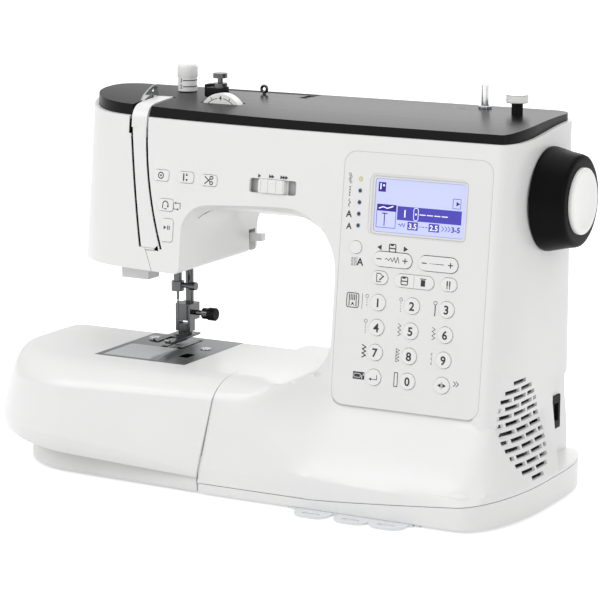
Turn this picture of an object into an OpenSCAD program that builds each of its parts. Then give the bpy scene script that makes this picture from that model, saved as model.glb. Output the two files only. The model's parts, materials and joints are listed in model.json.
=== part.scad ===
// Computerised free-arm sewing machine.
// Origin: centre of the footprint, on the table. +X towards the handwheel, +Y to the back, +Z up.

/* [Casing] */
// Height of the bed's top face
bed_h = 86; // [80:1:92]
// Height of the white casing at its front edge
rim_h = 265; // [262:1:270]
// Rise of the casing's top edge towards the back
rim_rise = 7.5; // [4:0.5:9]
// Height of the black cover's front top edge
crown_h = 271; // [270:0.5:274]
// Extra height of the cover's crown
crown_rise = 6.5; // [4:0.5:8]
// Inset of the black cover from the white casing
crown_inset = 3; // [2:0.5:4]
// Thickness of the plastic casings
wall = 2.5; // [2:0.1:3]
// Lean of the front face from upright, in degrees
front_lean = 7; // [6:0.5:8]
// Y of the front face, carried down to the table
front_y = -50.7; // [-53:0.1:-49]
// Y of the flat back
back_y = 94.5; // [93:0.5:97]
// Y of the seam between the front and rear covers
split_y = 57.5; // [56:0.5:60]
// X of the head's left end
head_left = -189; // [-192:1:-186]
// X of the column's right side, above the base
column_right = 202; // [200:0.5:204]
// How far the head's front lies behind the column's front
bow_depth = 15; // [12:0.5:17]
// Radius of the head's left corner
head_r = 72; // [66:1:76]
// Radius of the back corners
back_r = 20; // [16:1:24]

/* [Throat] */
// Height of the underside of the head
head_bottom = 151; // [149:0.5:154]
// Height of the underside of the arm
arm_bottom = 198; // [195:1:200]
// X of the head's right side
head_right = -70; // [-72:1:-68]
// X of the column's left side
column_left = 66; // [64:1:68]
// Rise of the arm's rounded front edge
lip_rise = 13; // [8:1:14]

/* [Base] */
// X of the base's right side
base_right = 218; // [216:1:219]
// Y of the base's front
base_front = -77.5; // [-79:0.5:-76]
// Height of the rubber feet below the tray
foot_h = 2; // [1.5:0.5:3]
// Height of the seam above the tray, at the left
seam_h = 9; // [8:0.5:10]
// Extra height of that seam at the right side
seam_rise = 14; // [10:1:15]
// Y of the back of the free arm
arm_back = 49.5; // [48:0.5:51]
// Y of the front of the free arm
arm_front = -38.5; // [-40:0.5:-37]
// X of the left end of the free arm
arm_left = -136.4; // [-138:0.2:-135]
// X of the right end of the free arm
arm_right = -10; // [-11:0.5:-9]
// Height of the underside of the free arm
arm_under = 38; // [37:0.5:42]

/* [Accessory box] */
// Corner radius of the box at the top
box_r = 80; // [78:0.5:82]
// Bulge of the box's left end below the top
box_bulge = 16; // [12:0.5:16]
// Height of the box's widest line
box_wide_z = 33; // [32:1:40]
// Running gap round the box
box_gap = 0.25; // [0.2:0.05:0.4]

/* [Panel] */
// Width of the control panel
panel_w = 116.9; // [115:0.1:118]
// Height of the control panel, along the face
panel_l = 182.6; // [180:0.1:184]
// X of the middle of the panel
panel_x = 127.15; // [126:0.05:128]
// Middle of the panel, along the face from the table
panel_v = 164.3; // [163:0.1:165]
// Thickness of the panel
panel_t = 3; // [2.5:0.1:3.5]
// Radius of the round keys
key_r = 5.85; // [5.5:0.05:6]
// Column spacing of the keys
key_dx = 27.1; // [26.5:0.1:27.5]
// Row spacing of the keys
key_dv = 17.95; // [17.5:0.05:18.2]
// How far the keys stand proud
key_proud = 1; // [0.8:0.1:1.2]
// Gap round a key or button
key_gap = 0.3; // [0.25:0.05:0.35]
// Width of the display window
lcd_w = 71.7; // [70:0.1:73]
// Height of the display window
lcd_l = 38.4; // [37:0.1:39.5]

/* [Drive] */
// Y of the main shaft
shaft_y = 39; // [38:0.5:40]
// Height of the main shaft
shaft_z = 220.8; // [219:0.2:222]
// Radius of the main shaft
shaft_r = 4; // [3.5:0.1:4.5]
// Radius of the handwheel's flange
flange_r = 37.6; // [36:0.1:39]
// Radius of the handwheel's grip
wheel_r = 32.8; // [31:0.1:34]
// Radius of the handwheel's white cap
cap_r = 24; // [22:0.5:26]
// X of the handwheel's outer face
wheel_end = 227.3; // [226:0.1:228]
// Radial running clearance of shafts and bars
run_gap = 0.06; // [0.03:0.01:0.09]

/* [Sewing head] */
// X of the needle
needle_x = -97.4; // [-98:0.1:-96.5]
// Y of the needle
needle_y = 19.7; // [19:0.1:20.5]
// Height of the needle's tip at the top of its stroke
needle_tip = 98; // [96:0.5:99]
// Radius of the needle and presser bars
bar_r = 3.2; // [3:0.1:3.5]
// Distance from the needle bar back to the presser bar
bar_dy = 17.4; // [17:0.1:18]
// Height of the raised presser foot's sole
foot_z = 92; // [92:0.2:93]
// Width of the thread slots
slot_w = 2.2; // [2:0.1:2.6]
// Radius of the rotary hook
hook_r = 16.5; // [16:0.1:17]

/* [Hidden] */
$fn = 64;

eps = 0.01;
white = [0.93, 0.93, 0.92];
black = [0.09, 0.09, 0.1];
steel = [0.75, 0.76, 0.78];
cast = [0.6, 0.61, 0.62];

corner_a = 14;
corner_b = 42;
flare_a = 32;
flare_b = 80;
base_corner_a = 18;
base_corner_b = 60;
flare_low = 25;
flare_high = 68;
edge_y = -42;
edge_depth = 29.5;
edge_z = 18;
edge_lean = 6;
bed_x = 18;
bed_back = 67.5;
saddle_r = 30;
seam_gap = 0.5;
lip_depth = 40;
flange = 7;

bow_x = 65;
bow_len = 193;
head_cx = head_left + head_r;
bow_turn = atan(2 * bow_depth * (bow_x - head_cx) / pow(bow_len, 2));
bow_end = head_cx - head_r * sin(bow_turn);
head_cy = bow(bow_end) + head_r * cos(bow_turn);

strip_low = 168;
seam_slope = 0.44;
seam_x = -103;
strip_back = 33;
lever_x = -122;
lever_y = 40.5;
lever_z = 238;

tray_floor = foot_h + wall;
tray_ext_z = 29;
box_seam_top = -10.5;
box_seam_bottom = -23;
box_cx = -134;
box_cy = -2.5;
box_floor_z = 30;

presser_y = needle_y + bar_dy;
plate_t = 2;
plate_right = -57;
hook_y = 1.5;
bobbin_r = 10.5;
seat_r = bobbin_r + 1.1;
hook_top = 80;
feed_half = 4.5;
lug_low = 156;
lug_high = 200;
lug_h = 10;
threader_x = -130;
threader_y = 18;
lifter_x = -97;
lifter_z = 163;

dial_x = -113;
dial_y = 62.5;
tension_x = -59;
tension_y = 24.5;
tension_z = 264;
tension_r = 19;
spindle_x = 134.7;
spindle_y = 74.5;
inlet_x = 196;
inlet_y = 62;
notch_x = 219;
notch_y = 27;
notch_low = 24;
notch_high = 86;
motor_y = -5;
motor_z = 45;
motor_r = 20;
motor_x = 150;
handle_y = 68;
handle_z = 274.5;
grip_y = 82;
handle_l = -99;
handle_r = -10;
guide_x = -74.5;
guide_y = 42.5;
hook_x = -50.5;
hook_z = 72.5;
stop_x = 167;
stop_y = 59.5;

// ---------------------------------------------------------------- outlines

function arc(c, a, b, from, to, n = 8) =
    [for (i = [0:n]) let (w = from + (to - from) * i / n) [c[0] + a * cos(w), c[1] + b * sin(w)]];

// Depth of the head's front behind the flat front plane.
function bow(x) = x < bow_x ? bow_depth * pow((bow_x - x) / bow_len, 2) : 0;

// Turn of the front face about the vertical, in degrees, at x.
function bow_yaw(x) = -atan(2 * bow_depth * max(0, bow_x - x) / pow(bow_len, 2));

// World Y of a point d behind the leaning front plane, at height z.
function lean_y(z, d) = front_y + z * tan(front_lean) + d / cos(front_lean);

// Outline of the upper casing in the leaning frame, inset by t.
function plan(t) = concat(
    arc([head_cx, head_cy], head_r - t, head_r - t, 180, 270 - bow_turn, 16),
    [for (i = [1:12]) let (x = bow_end + (bow_x - bow_end) * i / 12) [x, bow(x) + t]],
    arc([column_right - corner_a, corner_b], corner_a - t, corner_b - t, -90, 0, 12),
    [[column_right - t, 170], [head_left + t, 170]]);

// Rounded back corners between two upright sides, inset by t.
function back(left, right, t) = concat(
    [[right - t, -120]],
    arc([right - back_r, back_y - back_r], back_r - t, back_r - t, 0, 90),
    arc([left + back_r, back_y - back_r], back_r - t, back_r - t, 90, 180),
    [[left + t, -120]]);

// Outline of the base from x0 to its right side, inset by t.
function base_pts(x0, t) = concat(
    [[x0, base_front + t]],
    arc([base_right - flare_a, base_front + flare_b], flare_a - t, flare_b - t, -90, 0, 14),
    arc([base_right - base_corner_a, back_y - base_corner_b], base_corner_a - t, base_corner_b - t,
        0, 90),
    [[x0, back_y - t]]);

// Level section of the column at height z, from x0 to its right side, inset by t.
function column_pts(x0, z, t) = concat(
    [[x0, lean_y(z, t)]],
    [for (p = arc([column_right - corner_a, corner_b], corner_a - t, corner_b - t, -90, 0, 14))
        [p[0], lean_y(z, p[1])]],
    arc([column_right - back_r, back_y - back_r], back_r - t, back_r - t, 0, 90),
    [[x0, back_y - t]]);

// Y of the bed's front at height z, below its rounded edge, inset by t.
function bed_line(z, t) = edge_y - edge_depth + t
    - edge_lean * min(1, max(0, (bed_h - edge_z - z) / (bed_h - edge_z - 20)));

// Inset of the bed's front at height z where its top edge is rounded, for a skin inset by t.
function edge_in(z, t) = let (h = max(0, z - bed_h + edge_z) / (edge_z - t))
    (edge_depth - t) * (1 - sqrt(max(0, 1 - h * h)));

// Throat opening: k is 0 at the inner edge and 1 at the front lip.
function throat_pts(k, t) =
    let (top = arm_bottom + k * lip_rise + t, left = head_right - t, right = column_left + t)
    let (rl = 30 - 15 * k + t, rr = 43 + 5 * k + t)
    concat([[left, 60]],
        arc([left + rl, top - rl], rl, rl, 180, 90),
        arc([right - rr, top - rr], rr, rr, 90, 0, 10),
        [[right, 60]]);

// Height of the white casing's top edge.
function rim_z(y) = rim_h + rim_rise * (1 - cos(180 * min(1, max(0, (y + 14) / 100)))) / 2;

// Height of the black cover's crown.
function crown_z(y) = crown_h + crown_rise * (1 - pow((77.5 - y) / 97.5, 2));

// Centre lines of the two thread slots at height z.
function slot_left(z) = -122.8 + 0.11 * (264 - z) + 0.0005 * pow(264 - z, 2);
function slot_right(z) = -107 + 0.0021 * pow(264 - min(z, 264), 2);

// Height of the seam between the tray and the covers.
function seam_z(x) = seam_h + seam_rise * pow(max(0, (x - 70) / 160), 1.2);

// ---------------------------------------------------------------- helpers

module on_front() translate([0, front_y, 0]) rotate([-front_lean, 0, 0]) children();

// Children are placed on the front face, their Z out of the face, at x and v along it.
module on_face(x, v) on_front() translate([x, bow(x), v]) rotate([0, 0, bow_yaw(x)])
    rotate([90, 0, 0]) children();

module box(low, high) translate(low) cube(high - low);

module rod_x(r, x0, x1, y, z) translate([x0, y, z]) rotate([0, 90, 0]) cylinder(r = r, h = x1 - x0);

module rod_y(r, x, y0, y1, z) translate([x, y0, z]) rotate([-90, 0, 0]) cylinder(r = r, h = y1 - y0);

module rod_z(r, x, y, z0, z1) translate([x, y, z0]) cylinder(r = r, h = z1 - z0);

// A face outline in X and Z, swept from y0 to y1.
module sweep_y(y0, y1, pts) translate([0, y1, 0]) rotate([90, 0, 0]) linear_extrude(y1 - y0)
    polygon(pts);

// An end outline in Y and Z, swept from x0 to x1.
module sweep_x(x0, x1, pts) translate([x0, 0, 0]) rotate([90, 0, 90]) linear_extrude(x1 - x0)
    polygon(pts);

module round_rect(w, l, r) {
    square([w - 2 * r, l], center = true);
    square([w, l - 2 * r], center = true);
    for (i = [-1, 1], j = [-1, 1]) translate([i * (w / 2 - r), j * (l / 2 - r)]) circle(r);
}

module pill(w, l) round_rect(w, l, l / 2 - eps);

// ---------------------------------------------------------------- casing solids

module upper_prism(t) intersection() {
    on_front() translate([0, 0, 40]) linear_extrude(290) polygon(plan(t));
    translate([0, 0, flare_high]) linear_extrude(240) polygon(back(head_left, column_right, t));
}

module lip_slice(y, k) translate([0, y, 0]) rotate([90, 0, 0]) linear_extrude(eps)
    polygon(throat_pts(k, 0));

module lip() {
    y0 = lean_y(200, 0);
    sweep_y(-80, y0, throat_pts(1, 0));
    hull() {
        lip_slice(y0 + eps, 1);
        lip_slice(y0 + lip_depth * 0.15, 0.5);
    }
    hull() {
        lip_slice(y0 + lip_depth * 0.15, 0.5);
        lip_slice(y0 + lip_depth * 0.45, 0.16);
    }
    hull() {
        lip_slice(y0 + lip_depth * 0.45, 0.16);
        lip_slice(y0 + lip_depth, 0);
    }
}

module under_head(t) box([-300, -120, 0], [head_right - t - 4, 120, head_bottom + t]);

module head_corner(t) sweep_y(-120, 120, concat(
    [[head_right - t - 5, 0]],
    [[head_right - t - 5, head_bottom + t]],
    arc([head_right - t - 4, head_bottom + t + 4], 4, 4, -90, 0, 6),
    [[head_right - t + 5, head_bottom + t + 4], [head_right - t + 5, 0]]));

module upper_solid(t) difference() {
    upper_prism(t);
    under_head(t);
    head_corner(t);
    sweep_y(-120, 120, throat_pts(0, t));
}

// Rounded front top edge of the bed, in Y and Z.
function bed_edge_pts() = arc([edge_y, bed_h - edge_z], edge_depth, edge_z, 180, 90, 10);

module bed_block() {
    difference() {
        sweep_x(-40, bed_x, concat([[bed_line(5, 0), 5], [bed_line(20, 0), 20]], bed_edge_pts(),
            [[bed_back, bed_h], [bed_back, 5]]));
        sweep_y(-100, arm_front - 1.5, [[-50, -1], [box_seam_bottom - 1.5, -1],
            [box_seam_top, bed_h + 1], [-50, bed_h + 1]]);
        box([-50, arm_front - 1.6, -1], [arm_right, arm_back + 30, bed_h + 1]);
    }
}

// Blend between the bed and the column: its ends lie inside both.
module saddle() {
    x1 = column_left + 0.5;
    hull() {
        sweep_x(bed_x - 0.5, bed_x, [[bed_line(5, 0), 5], [bed_line(20, 0), 20],
            [bed_line(flare_high, 0), flare_high], [bed_back, flare_high], [bed_back, 5]]);
        sweep_x(x1, x1 + 0.5, [[base_front + 0.4, 5], [base_front + 0.4, flare_low],
            [lean_y(flare_high, 0.4), flare_high], [bed_back, flare_high], [bed_back, 5]]);
    }
    difference() {
        hull() {
            sweep_x(bed_x - 0.5, bed_x, concat(bed_edge_pts(),
                [[bed_back, bed_h], [bed_back, flare_high]]));
            sweep_x(x1, x1 + 0.5, [[lean_y(flare_high, 0.4), flare_high],
                [lean_y(bed_h + saddle_r, 0.4), bed_h + saddle_r], [bed_back, bed_h + saddle_r],
                [bed_back, flare_high]]);
        }
        rod_y(saddle_r, column_left - saddle_r, -100, 100, bed_h + saddle_r);
        box([bed_x - 1, -100, bed_h], [column_left - saddle_r, 100, bed_h + saddle_r]);
    }
}

module flare(t, x0) {
    hull() {
        translate([0, 0, flare_low]) linear_extrude(eps) polygon(base_pts(x0, t));
        translate([0, 0, flare_high]) linear_extrude(eps) polygon(column_pts(x0, flare_high, t));
    }
    translate([0, 0, 5]) linear_extrude(flare_low - 5) polygon(base_pts(x0, t));
}

module casing_solid() {
    difference() {
        upper_solid(0);
        lip();
    }
    flare(0, column_left);
    bed_block();
    saddle();
}

module casing_hollow() {
    intersection() {
        difference() {
            upper_solid(wall);
            sweep_y(-80, lean_y(200, 0) + lip_depth * 0.45, throat_pts(1, wall));
        }
        rim_below(wall);
    }
    intersection() {
        upper_prism(crown_inset + flange);
        box([-300, -100, rim_h - 10], [300, 100, 300]);
    }
    intersection() {
        upper_prism(wall);
        box([column_left + wall, -100, flare_high - 1], [300, 100, arm_bottom]);
    }
    flare(wall, column_left + wall);
    // Steps that keep the wall's thickness under the bed's rounded edge.
    for (s = [[flare_high, edge_y - 27, -39], [77, edge_y - 20, -38], [bed_h - wall, -39, -37.5]])
        translate([0, 0, -1]) linear_extrude(s[0] + 1) polygon([[arm_right + wall, s[1]],
            [bed_x, s[1]], [column_left, s[2]], [column_left + 4, s[2]],
            [column_left + 4, bed_back - wall], [arm_right + wall, bed_back - wall]]);
}

// Everything below the casing's top edge, lowered by drop.
module rim_below(drop) sweep_x(-240, 240, concat([[-120, -10]],
    [for (y = [-120, -14, -4, 6, 16, 26, 36, 46, 56, 66, 76, 86, 120]) [y, rim_z(y) - drop]],
    [[120, -10]]));

// Everything below the crown, lowered by drop.
module crown_below(drop) sweep_x(-240, 240, concat([[-40, 200]],
    [for (y = [-40:12:104]) [y, crown_z(y) - drop]],
    [[104, 200]]));

module seam_above() sweep_y(-120, 120, concat(
    [[-240, 320], [-240, seam_h]],
    [for (x = [70:16:230]) [x, seam_z(x)]],
    [[240, seam_z(230)], [240, 320]]));

// Recess for the mains inlet, grown by t.
module notch(t) {
    m = (inlet_y - notch_y) / (notch_x - inlet_x);
    d = t * sqrt(1 + m * m);
    translate([0, 0, notch_low - t]) linear_extrude(notch_high - notch_low + 2 * t)
        polygon([[240, notch_y - m * (240 - notch_x) - d], [inlet_x - t, inlet_y + m * t - d],
            [inlet_x - t, 130], [240, 130]]);
}

module casing() difference() {
    casing_solid();
    notch(0);
    difference() {
        casing_hollow();
        notch(wall);
    }
}

// Opening in the head's underside.
module head_opening() box([-148, 4, head_bottom - 2], [-84, 56, head_bottom + wall + 1]);

function seam_at(z) = seam_x + seam_slope * (strip_low - z);

function face_edge() = concat([for (i = [0:10]) let (z = 300 - (300 - strip_low) * i / 10)
    [slot_left(min(z, 264)) - slot_w / 2, z]],
    [[seam_at(strip_low), strip_low], [seam_at(140), 140]]);

function front_edge() = concat([for (i = [0:10]) let (z = 300 - (300 - strip_low) * i / 10)
    [slot_right(z) + slot_w / 2, z]],
    [[seam_at(strip_low), strip_low], [seam_at(140), 140]]);

// ---------------------------------------------------------------- face openings

head_buttons = [[-90.4, 226.1, 14.3, 8.2], [-67.3, 226.2, 14.3, 8.2], [-46.1, 225.5, 14.3, 8.2],
    [-84.7, 204.3, 14, 9], [-82.5, 185.4, 11.3, 17.2]];
keys = [for (j = [0:3], i = [0:2]) [panel_x - 24.95 + i * key_dx, panel_v - 15.3 - j * key_dv]];
ovals = [[panel_x + 2.65, panel_v + 2.1, 30.8, 9.5], [panel_x - 24.85, panel_v + 2.6, 12.8, 9.5],
    [panel_x + 29.75, panel_v + 2.5, 12.5, 9.5], [panel_x - 45.45, panel_v + 22.7, 9.2, 9.2]];
rockers = [[panel_x - 15.35, panel_v + 16.1, 30.2, 10.5], [panel_x + 20.5, panel_v + 16.1, 30.5, 10.5]];
lcd_x = panel_x + 2.5;
lcd_v = panel_v + panel_l / 2 - 37;
leds = [for (i = [0:4]) [lcd_x - 47.35, lcd_v + 17.4 - i * 8.33]];
slider_x = 9.75;
slider_v = 225;
slider_w = 40.1;
slider_l = 10.6;
knob_x = 9.4;
back_screws = [[-165, 190], [-100, 258], [60, 250], [180, 258], [180, 110], [90, 20]];
plate_screws = [[-127, 32.9], [-70.4, 15.9]];

module button_hole(b) on_face(b[0], b[1]) translate([0, 0, -8]) linear_extrude(16)
    round_rect(b[2] + 2 * key_gap, b[3] + 2 * key_gap, 2.5 + key_gap);

module button(b) on_face(b[0], b[1]) {
    translate([0, 0, -wall - 1.6]) linear_extrude(wall + 1.6 + key_proud) round_rect(b[2], b[3], 2.5);
    translate([0, 0, -wall - 1.6]) linear_extrude(1.4) round_rect(b[2] + 2.4, b[3] + 2.4, 3.5);
}

module key(p) on_face(p[0], p[1]) {
    translate([0, 0, -wall - 3.6]) cylinder(r = key_r, h = wall + 3.6 + key_proud);
    translate([0, 0, -wall - 3.6]) cylinder(r = key_r + 1.3, h = 1.4);
}

module oval_key(b) on_face(b[0], b[1]) {
    translate([0, 0, -wall - 3.6]) linear_extrude(wall + 3.6 + key_proud) pill(b[2], b[3]);
    translate([0, 0, -wall - 3.6]) linear_extrude(1.4) pill(b[2] + 2.4, b[3] + 2.4);
}

module rocker(b) on_face(b[0], b[1]) {
    translate([0, 0, -wall - 1.8]) linear_extrude(wall + 1.8 + key_proud) pill(b[2], b[3]);
    rod_y(0.65, 0, -b[3] / 2 - 1.6, b[3] / 2 + 1.6, -wall - 2.9);
    box([-1.6, -2, -wall - 2.7], [1.6, 2, -wall - 1.7]);
}

// ---------------------------------------------------------------- casing nodes

module front_cover() color(white) difference() {
    intersection() {
        casing();
        seam_above();
        rim_below(0);
        sweep_y(-120, split_y, concat(front_edge(),
            [[seam_at(140), -1], [240, -1], [240, 300]]));
    }
    head_opening();
    on_face(panel_x, panel_v) translate([0, 0, -10]) linear_extrude(20)
        round_rect(panel_w + 0.3, panel_l + 0.3, 9.65);
    for (b = head_buttons) button_hole(b);
    on_face(slider_x, slider_v) translate([0, 0, -8]) linear_extrude(16)
        round_rect(slider_w, slider_l, 2);
    rod_x(shaft_r + 2, column_right - 8, column_right + 8, shaft_y, shaft_z);
    box([arm_right - 1, arm_front, arm_under + wall], [arm_right + wall + 1, arm_back - wall, 76]);
    vents();
}

// Rows of level slots, their ends on an ellipse.
module vents() for (j = [-6:6], i = [-2:2])
    let (z = 62 + j * 5.6, y = -5 + (i + (abs(j) % 2) / 2) * 21, e = 31 * sqrt(1 - pow(j / 6.4, 2)))
    if (min(y + 9.2, e - 5) - max(y - 9.2, -5 - e) > 3)
        box([column_right - 6, max(y - 9.2, -5 - e), z - 1.5], [240, min(y + 9.2, e - 5), z + 1.5]);

module rear_cover() color(white) difference() {
    intersection() {
        casing();
        seam_above();
        rim_below(0);
        box([-240, split_y, -1], [240, 120, 320]);
    }
    box([lifter_x - 8, 82, head_bottom - 10], [head_right + 2, back_y - wall, lifter_z + 6]);
    for (p = back_screws) {
        rod_y(1.7, p[0], back_y - 6, back_y + 1, p[1]);
        rod_y(3.5, p[0], back_y - 1.2, back_y + 1, p[1]);
    }
    box([inlet_x - wall - 1, 65, 48], [inlet_x + 1, 76, 65]);
}

module face_cover() color(white) difference() {
    intersection() {
        casing();
        rim_below(0);
        sweep_y(-120, split_y, concat(face_edge(), [[-240, 140], [-240, 300]]));
    }
    head_opening();
    box([slot_left(258) - 2.4, -40, 252], [slot_left(258) + 3, 20, 280]);
}

function strip_side(side) = [for (i = [0:10]) let (z = 290 - (290 - strip_low - 0.3) * i / 10)
    [side < 0 ? slot_left(min(z, 264)) + slot_w / 2 : slot_right(z) - slot_w / 2, z]];

module thread_strip() color(white) {
    x1 = slot_right(264) - slot_w / 2;
    x0 = slot_left(264) + slot_w / 2 + 0.4;
    intersection() {
        casing();
        sweep_y(-120, split_y, concat(strip_side(-1), [for (i = [10:-1:0]) strip_side(1)[i]]));
        box([-200, -120, 0], [0, 2, 258]);
    }
    difference() {
        sweep_x(x0, x1, concat([[lean_y(257, 13), 257]],
            arc([lean_y(262, 13) + 12, 262], 12, 12, 180, 104, 6),
            [for (y = [8, 16, 24, strip_back]) [y, crown_z(y) + 0.3]],
            [[strip_back, 262], [6, 257]]));
        sweep_x(x0 - 1, x1 + 1, concat([[lean_y(256, 13) + wall, 256]],
            arc([lean_y(262, 13) + 12, 262], 12 - wall, 12 - wall, 180, 104, 6),
            [for (y = [8, 16, 24, strip_back - wall]) [y, crown_z(y) + 0.3 - wall]],
            [[strip_back - wall, 256]]));
    }
    box([-114.5, lean_y(218, 14), 214], [-110, 47, 222]);
}

module crown_shell() difference() {
    intersection() {
        upper_prism(crown_inset);
        crown_below(0);
    }
    intersection() {
        upper_prism(crown_inset + wall);
        crown_below(wall);
    }
    rim_below(0);
}

module crown_region(pts) translate([0, 0, 230]) linear_extrude(80) polygon(pts);

module top_cover() color(black) difference() {
    union() {
        intersection() {
            crown_shell();
            crown_region([[slot_right(264) + slot_w / 2, -60], [230, -60], [230, 110], [-103.7, 110],
                [-103.7, strip_back + 0.4], [slot_right(264) + slot_w / 2, strip_back + 0.4]]);
        }
        intersection() {
            union() {
                box([handle_l - 4, handle_y - 6, 268], [handle_r + 4, grip_y - 1, 280]);
                box([handle_l - 4, handle_y, rim_h + rim_rise], [handle_r + 4, back_y - crown_inset, 280]);
            }
            crown_below(0);
        }
    }
    for (x = [handle_l, handle_r - 6])
        box([x - 0.4, handle_y - 3.5, handle_z - 3], [x + 6.4, grip_y + 1, 290]);
    box([handle_l - 0.4, grip_y - 0.6, rim_h + rim_rise + 0.8], [handle_r + 0.4, back_y - 4.4, 290]);
    rod_x(1.5 + run_gap, handle_l - 2, handle_l, handle_y, handle_z);
    rod_x(1.5 + run_gap, handle_r, handle_r + 2, handle_y, handle_z);
    box([tension_x - 17.5, tension_y - 4.4, 260], [tension_x + 17.5, tension_y + 4.4, 290]);
    rod_z(3 + run_gap, spindle_x, spindle_y, 260, 290);
    rod_z(3, guide_x, guide_y, 260, 290);
    rod_z(1.2, hook_x, hook_z, 260, 290);
    rod_z(4, stop_x, stop_y, 260, 290);
}

module face_cap() color(black) difference() {
    intersection() {
        crown_shell();
        crown_region([[-240, -60], [lever_x - 1.8, -60], [lever_x - 1.8, strip_back + 2.8],
            [lever_x + 1.8, strip_back + 2.8], [lever_x + 1.8, strip_back + 0.6],
            [-103.7, strip_back + 0.6], [-103.7, 110], [-240, 110]]);
    }
    rod_z(3 + run_gap, dial_x, dial_y, 260, 290);
}

function ext_pts(t) = concat([[-21, -72.9 + t], [-24.6, -72.9 + t], [-24.6, -75.6 + t]],
    arc([-140, 0], 65 - t, 71 - t, 270, 180, 14),
    arc([-193, 34.5], 12 - t, 12 - t, 180, 90, 4),
    [[-21, 46.5 - t]]);

module tray_plan(t) difference() {
    polygon(base_pts(box_seam_bottom + 1 + t, t));
    translate([-60, bed_back - t]) square([60 + column_left + t, 60]);
}

module base_tray() color(white) difference() {
    union() {
        difference() {
            translate([0, 0, foot_h]) linear_extrude(28) tray_plan(0);
            translate([0, 0, -seam_gap]) seam_above();
            translate([0, 0, tray_floor]) linear_extrude(40) tray_plan(wall);
        }
        translate([0, 0, foot_h]) linear_extrude(tray_ext_z - foot_h) polygon(ext_pts(0));
        for (x = [52, 152.3]) box([x, base_front + 1, 0.3], [x + 5.7, 40, foot_h]);
    }
    difference() {
        translate([0, 0, -1]) linear_extrude(tray_ext_z - wall + 1) polygon(ext_pts(wall));
        for (p = [[-175, -25], [-180, 25]]) rod_z(9, p[0], p[1], foot_h, 40);
        box([-25, -80, -2], [0, 60, tray_floor + 4]);
    }
    box([box_seam_bottom - 1.8, -80, seam_h - seam_gap], [-15, arm_front - 1, 40]);
    box([56, base_front - 1, 0.7], [154, 39, foot_h - eps]);
}

module rubber_feet() color(black)
    for (p = [[-175, -25], [-180, 25], [15, -60], [15, 52], [195, -25], [195, 78]])
        rod_z(8, p[0], p[1], 0, foot_h);

module free_arm() color(white) difference() {
    box([arm_left, arm_front, arm_under], [arm_right, arm_back, bed_h]);
    box([arm_left + wall, arm_front + wall, arm_under + wall],
        [arm_right + 1, arm_back - wall, bed_h - wall - plate_t]);
    box([arm_left + wall + 3, arm_front + wall + 3, 70], [plate_right - 3, arm_back - wall - 3, 90]);
    box([arm_left - 1, arm_front - 1, bed_h - plate_t], [plate_right, arm_back + 1, bed_h + 1]);
    for (p = plate_screws) rod_z(1.6, p[0], p[1], 70, 90);
}

module needle_plate() color(steel) difference() {
    box([arm_left, arm_front, bed_h - plate_t], [plate_right, arm_back, bed_h]);
    translate([0, 0, bed_h - 1.4]) linear_extrude(2) offset_cover(0.25);
    translate([0, 0, bed_h - 4]) linear_extrude(6) offset_cover(-1.5);
    for (i = [-1, 1]) box([needle_x + i * 6.75 - 2.7, 8, 80], [needle_x + i * 6.75 + 2.7, 42, 90]);
    translate([needle_x, needle_y, 80]) linear_extrude(10) pill(6.4, 2.4);
    for (p = plate_screws) rod_z(1.6, p[0], p[1], 80, 90);
}

// Outline of the clear bobbin cover, grown by g.
module offset_cover(g) polygon(concat([[-132 - g, 8 + g], [-132 - g, -34 - g]],
    [for (i = [0:8]) let (y = -34 - g + (42 + 2 * g) * i / 8) [-90 + g + 0.0048 * pow(y - 4, 2), y]]));

module bobbin_cover() color([0.75, 0.78, 0.8, 0.5])
    translate([0, 0, bed_h - 1.4]) linear_extrude(1.4) offset_cover(0);

module control_panel() color(white) on_face(panel_x, panel_v) difference() {
    union() {
        translate([0, 0, -wall - 2]) linear_extrude(wall + 2) round_rect(panel_w, panel_l, 9.5);
        translate([0, 0, -wall - 2]) linear_extrude(2)
            round_rect(panel_w - 1.2, panel_l + 6, 12);
    }
    translate([-panel_x, -panel_v, -8]) {
        for (p = keys) translate(p) cylinder(r = key_r + key_gap, h = 16);
        for (b = ovals) translate([b[0], b[1]]) linear_extrude(16)
            pill(b[2] + 2 * key_gap, b[3] + 2 * key_gap);
        for (b = rockers) translate([b[0], b[1]]) linear_extrude(16) pill(b[2] + 1, b[3] + 1);
        for (p = leds) translate(p) cylinder(r = 1.7, h = 16);
        translate([lcd_x, lcd_v]) linear_extrude(16) round_rect(lcd_w, lcd_l, 2);
        translate([lcd_x - 1, lcd_v + 0.2, 7.4]) linear_extrude(4) round_rect(77.7, 44.4, 5);
    }
}

module display_module() color([0.55, 0.6, 0.85]) on_face(lcd_x, lcd_v) {
    translate([0, 0, -6]) linear_extrude(4.6) round_rect(lcd_w - 0.6, lcd_l - 0.6, 1.8);
    translate([0, 0, -wall - 3.6]) linear_extrude(1.6) round_rect(lcd_w + 4, lcd_l + 4, 1.8);
    box([-50, -22, -7.6], [38, 22, -6]);
    for (p = leds) translate([p[0] - lcd_x, p[1] - lcd_v, -7]) cylinder(r = 1.4, h = 7.2);
}

module power_inlet() color(black) difference() {
    union() {
        box([inlet_x, 62.8, 44], [inlet_x + 1.6, 78, 69]);
        box([inlet_x - 16, 65.1, 48.1], [inlet_x + 1, 75.9, 64.9]);
    }
    box([inlet_x - 12, 66.6, 50], [inlet_x + 3, 74.4, 63]);
}

module drive_motor() color(cast) {
    rod_x(motor_r, motor_x, motor_x + 34, motor_y, motor_z);
    rod_x(6, motor_x + 33, motor_x + 38, motor_y, motor_z);
    rod_x(3, motor_x - 14, motor_x, motor_y, motor_z);
}

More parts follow.
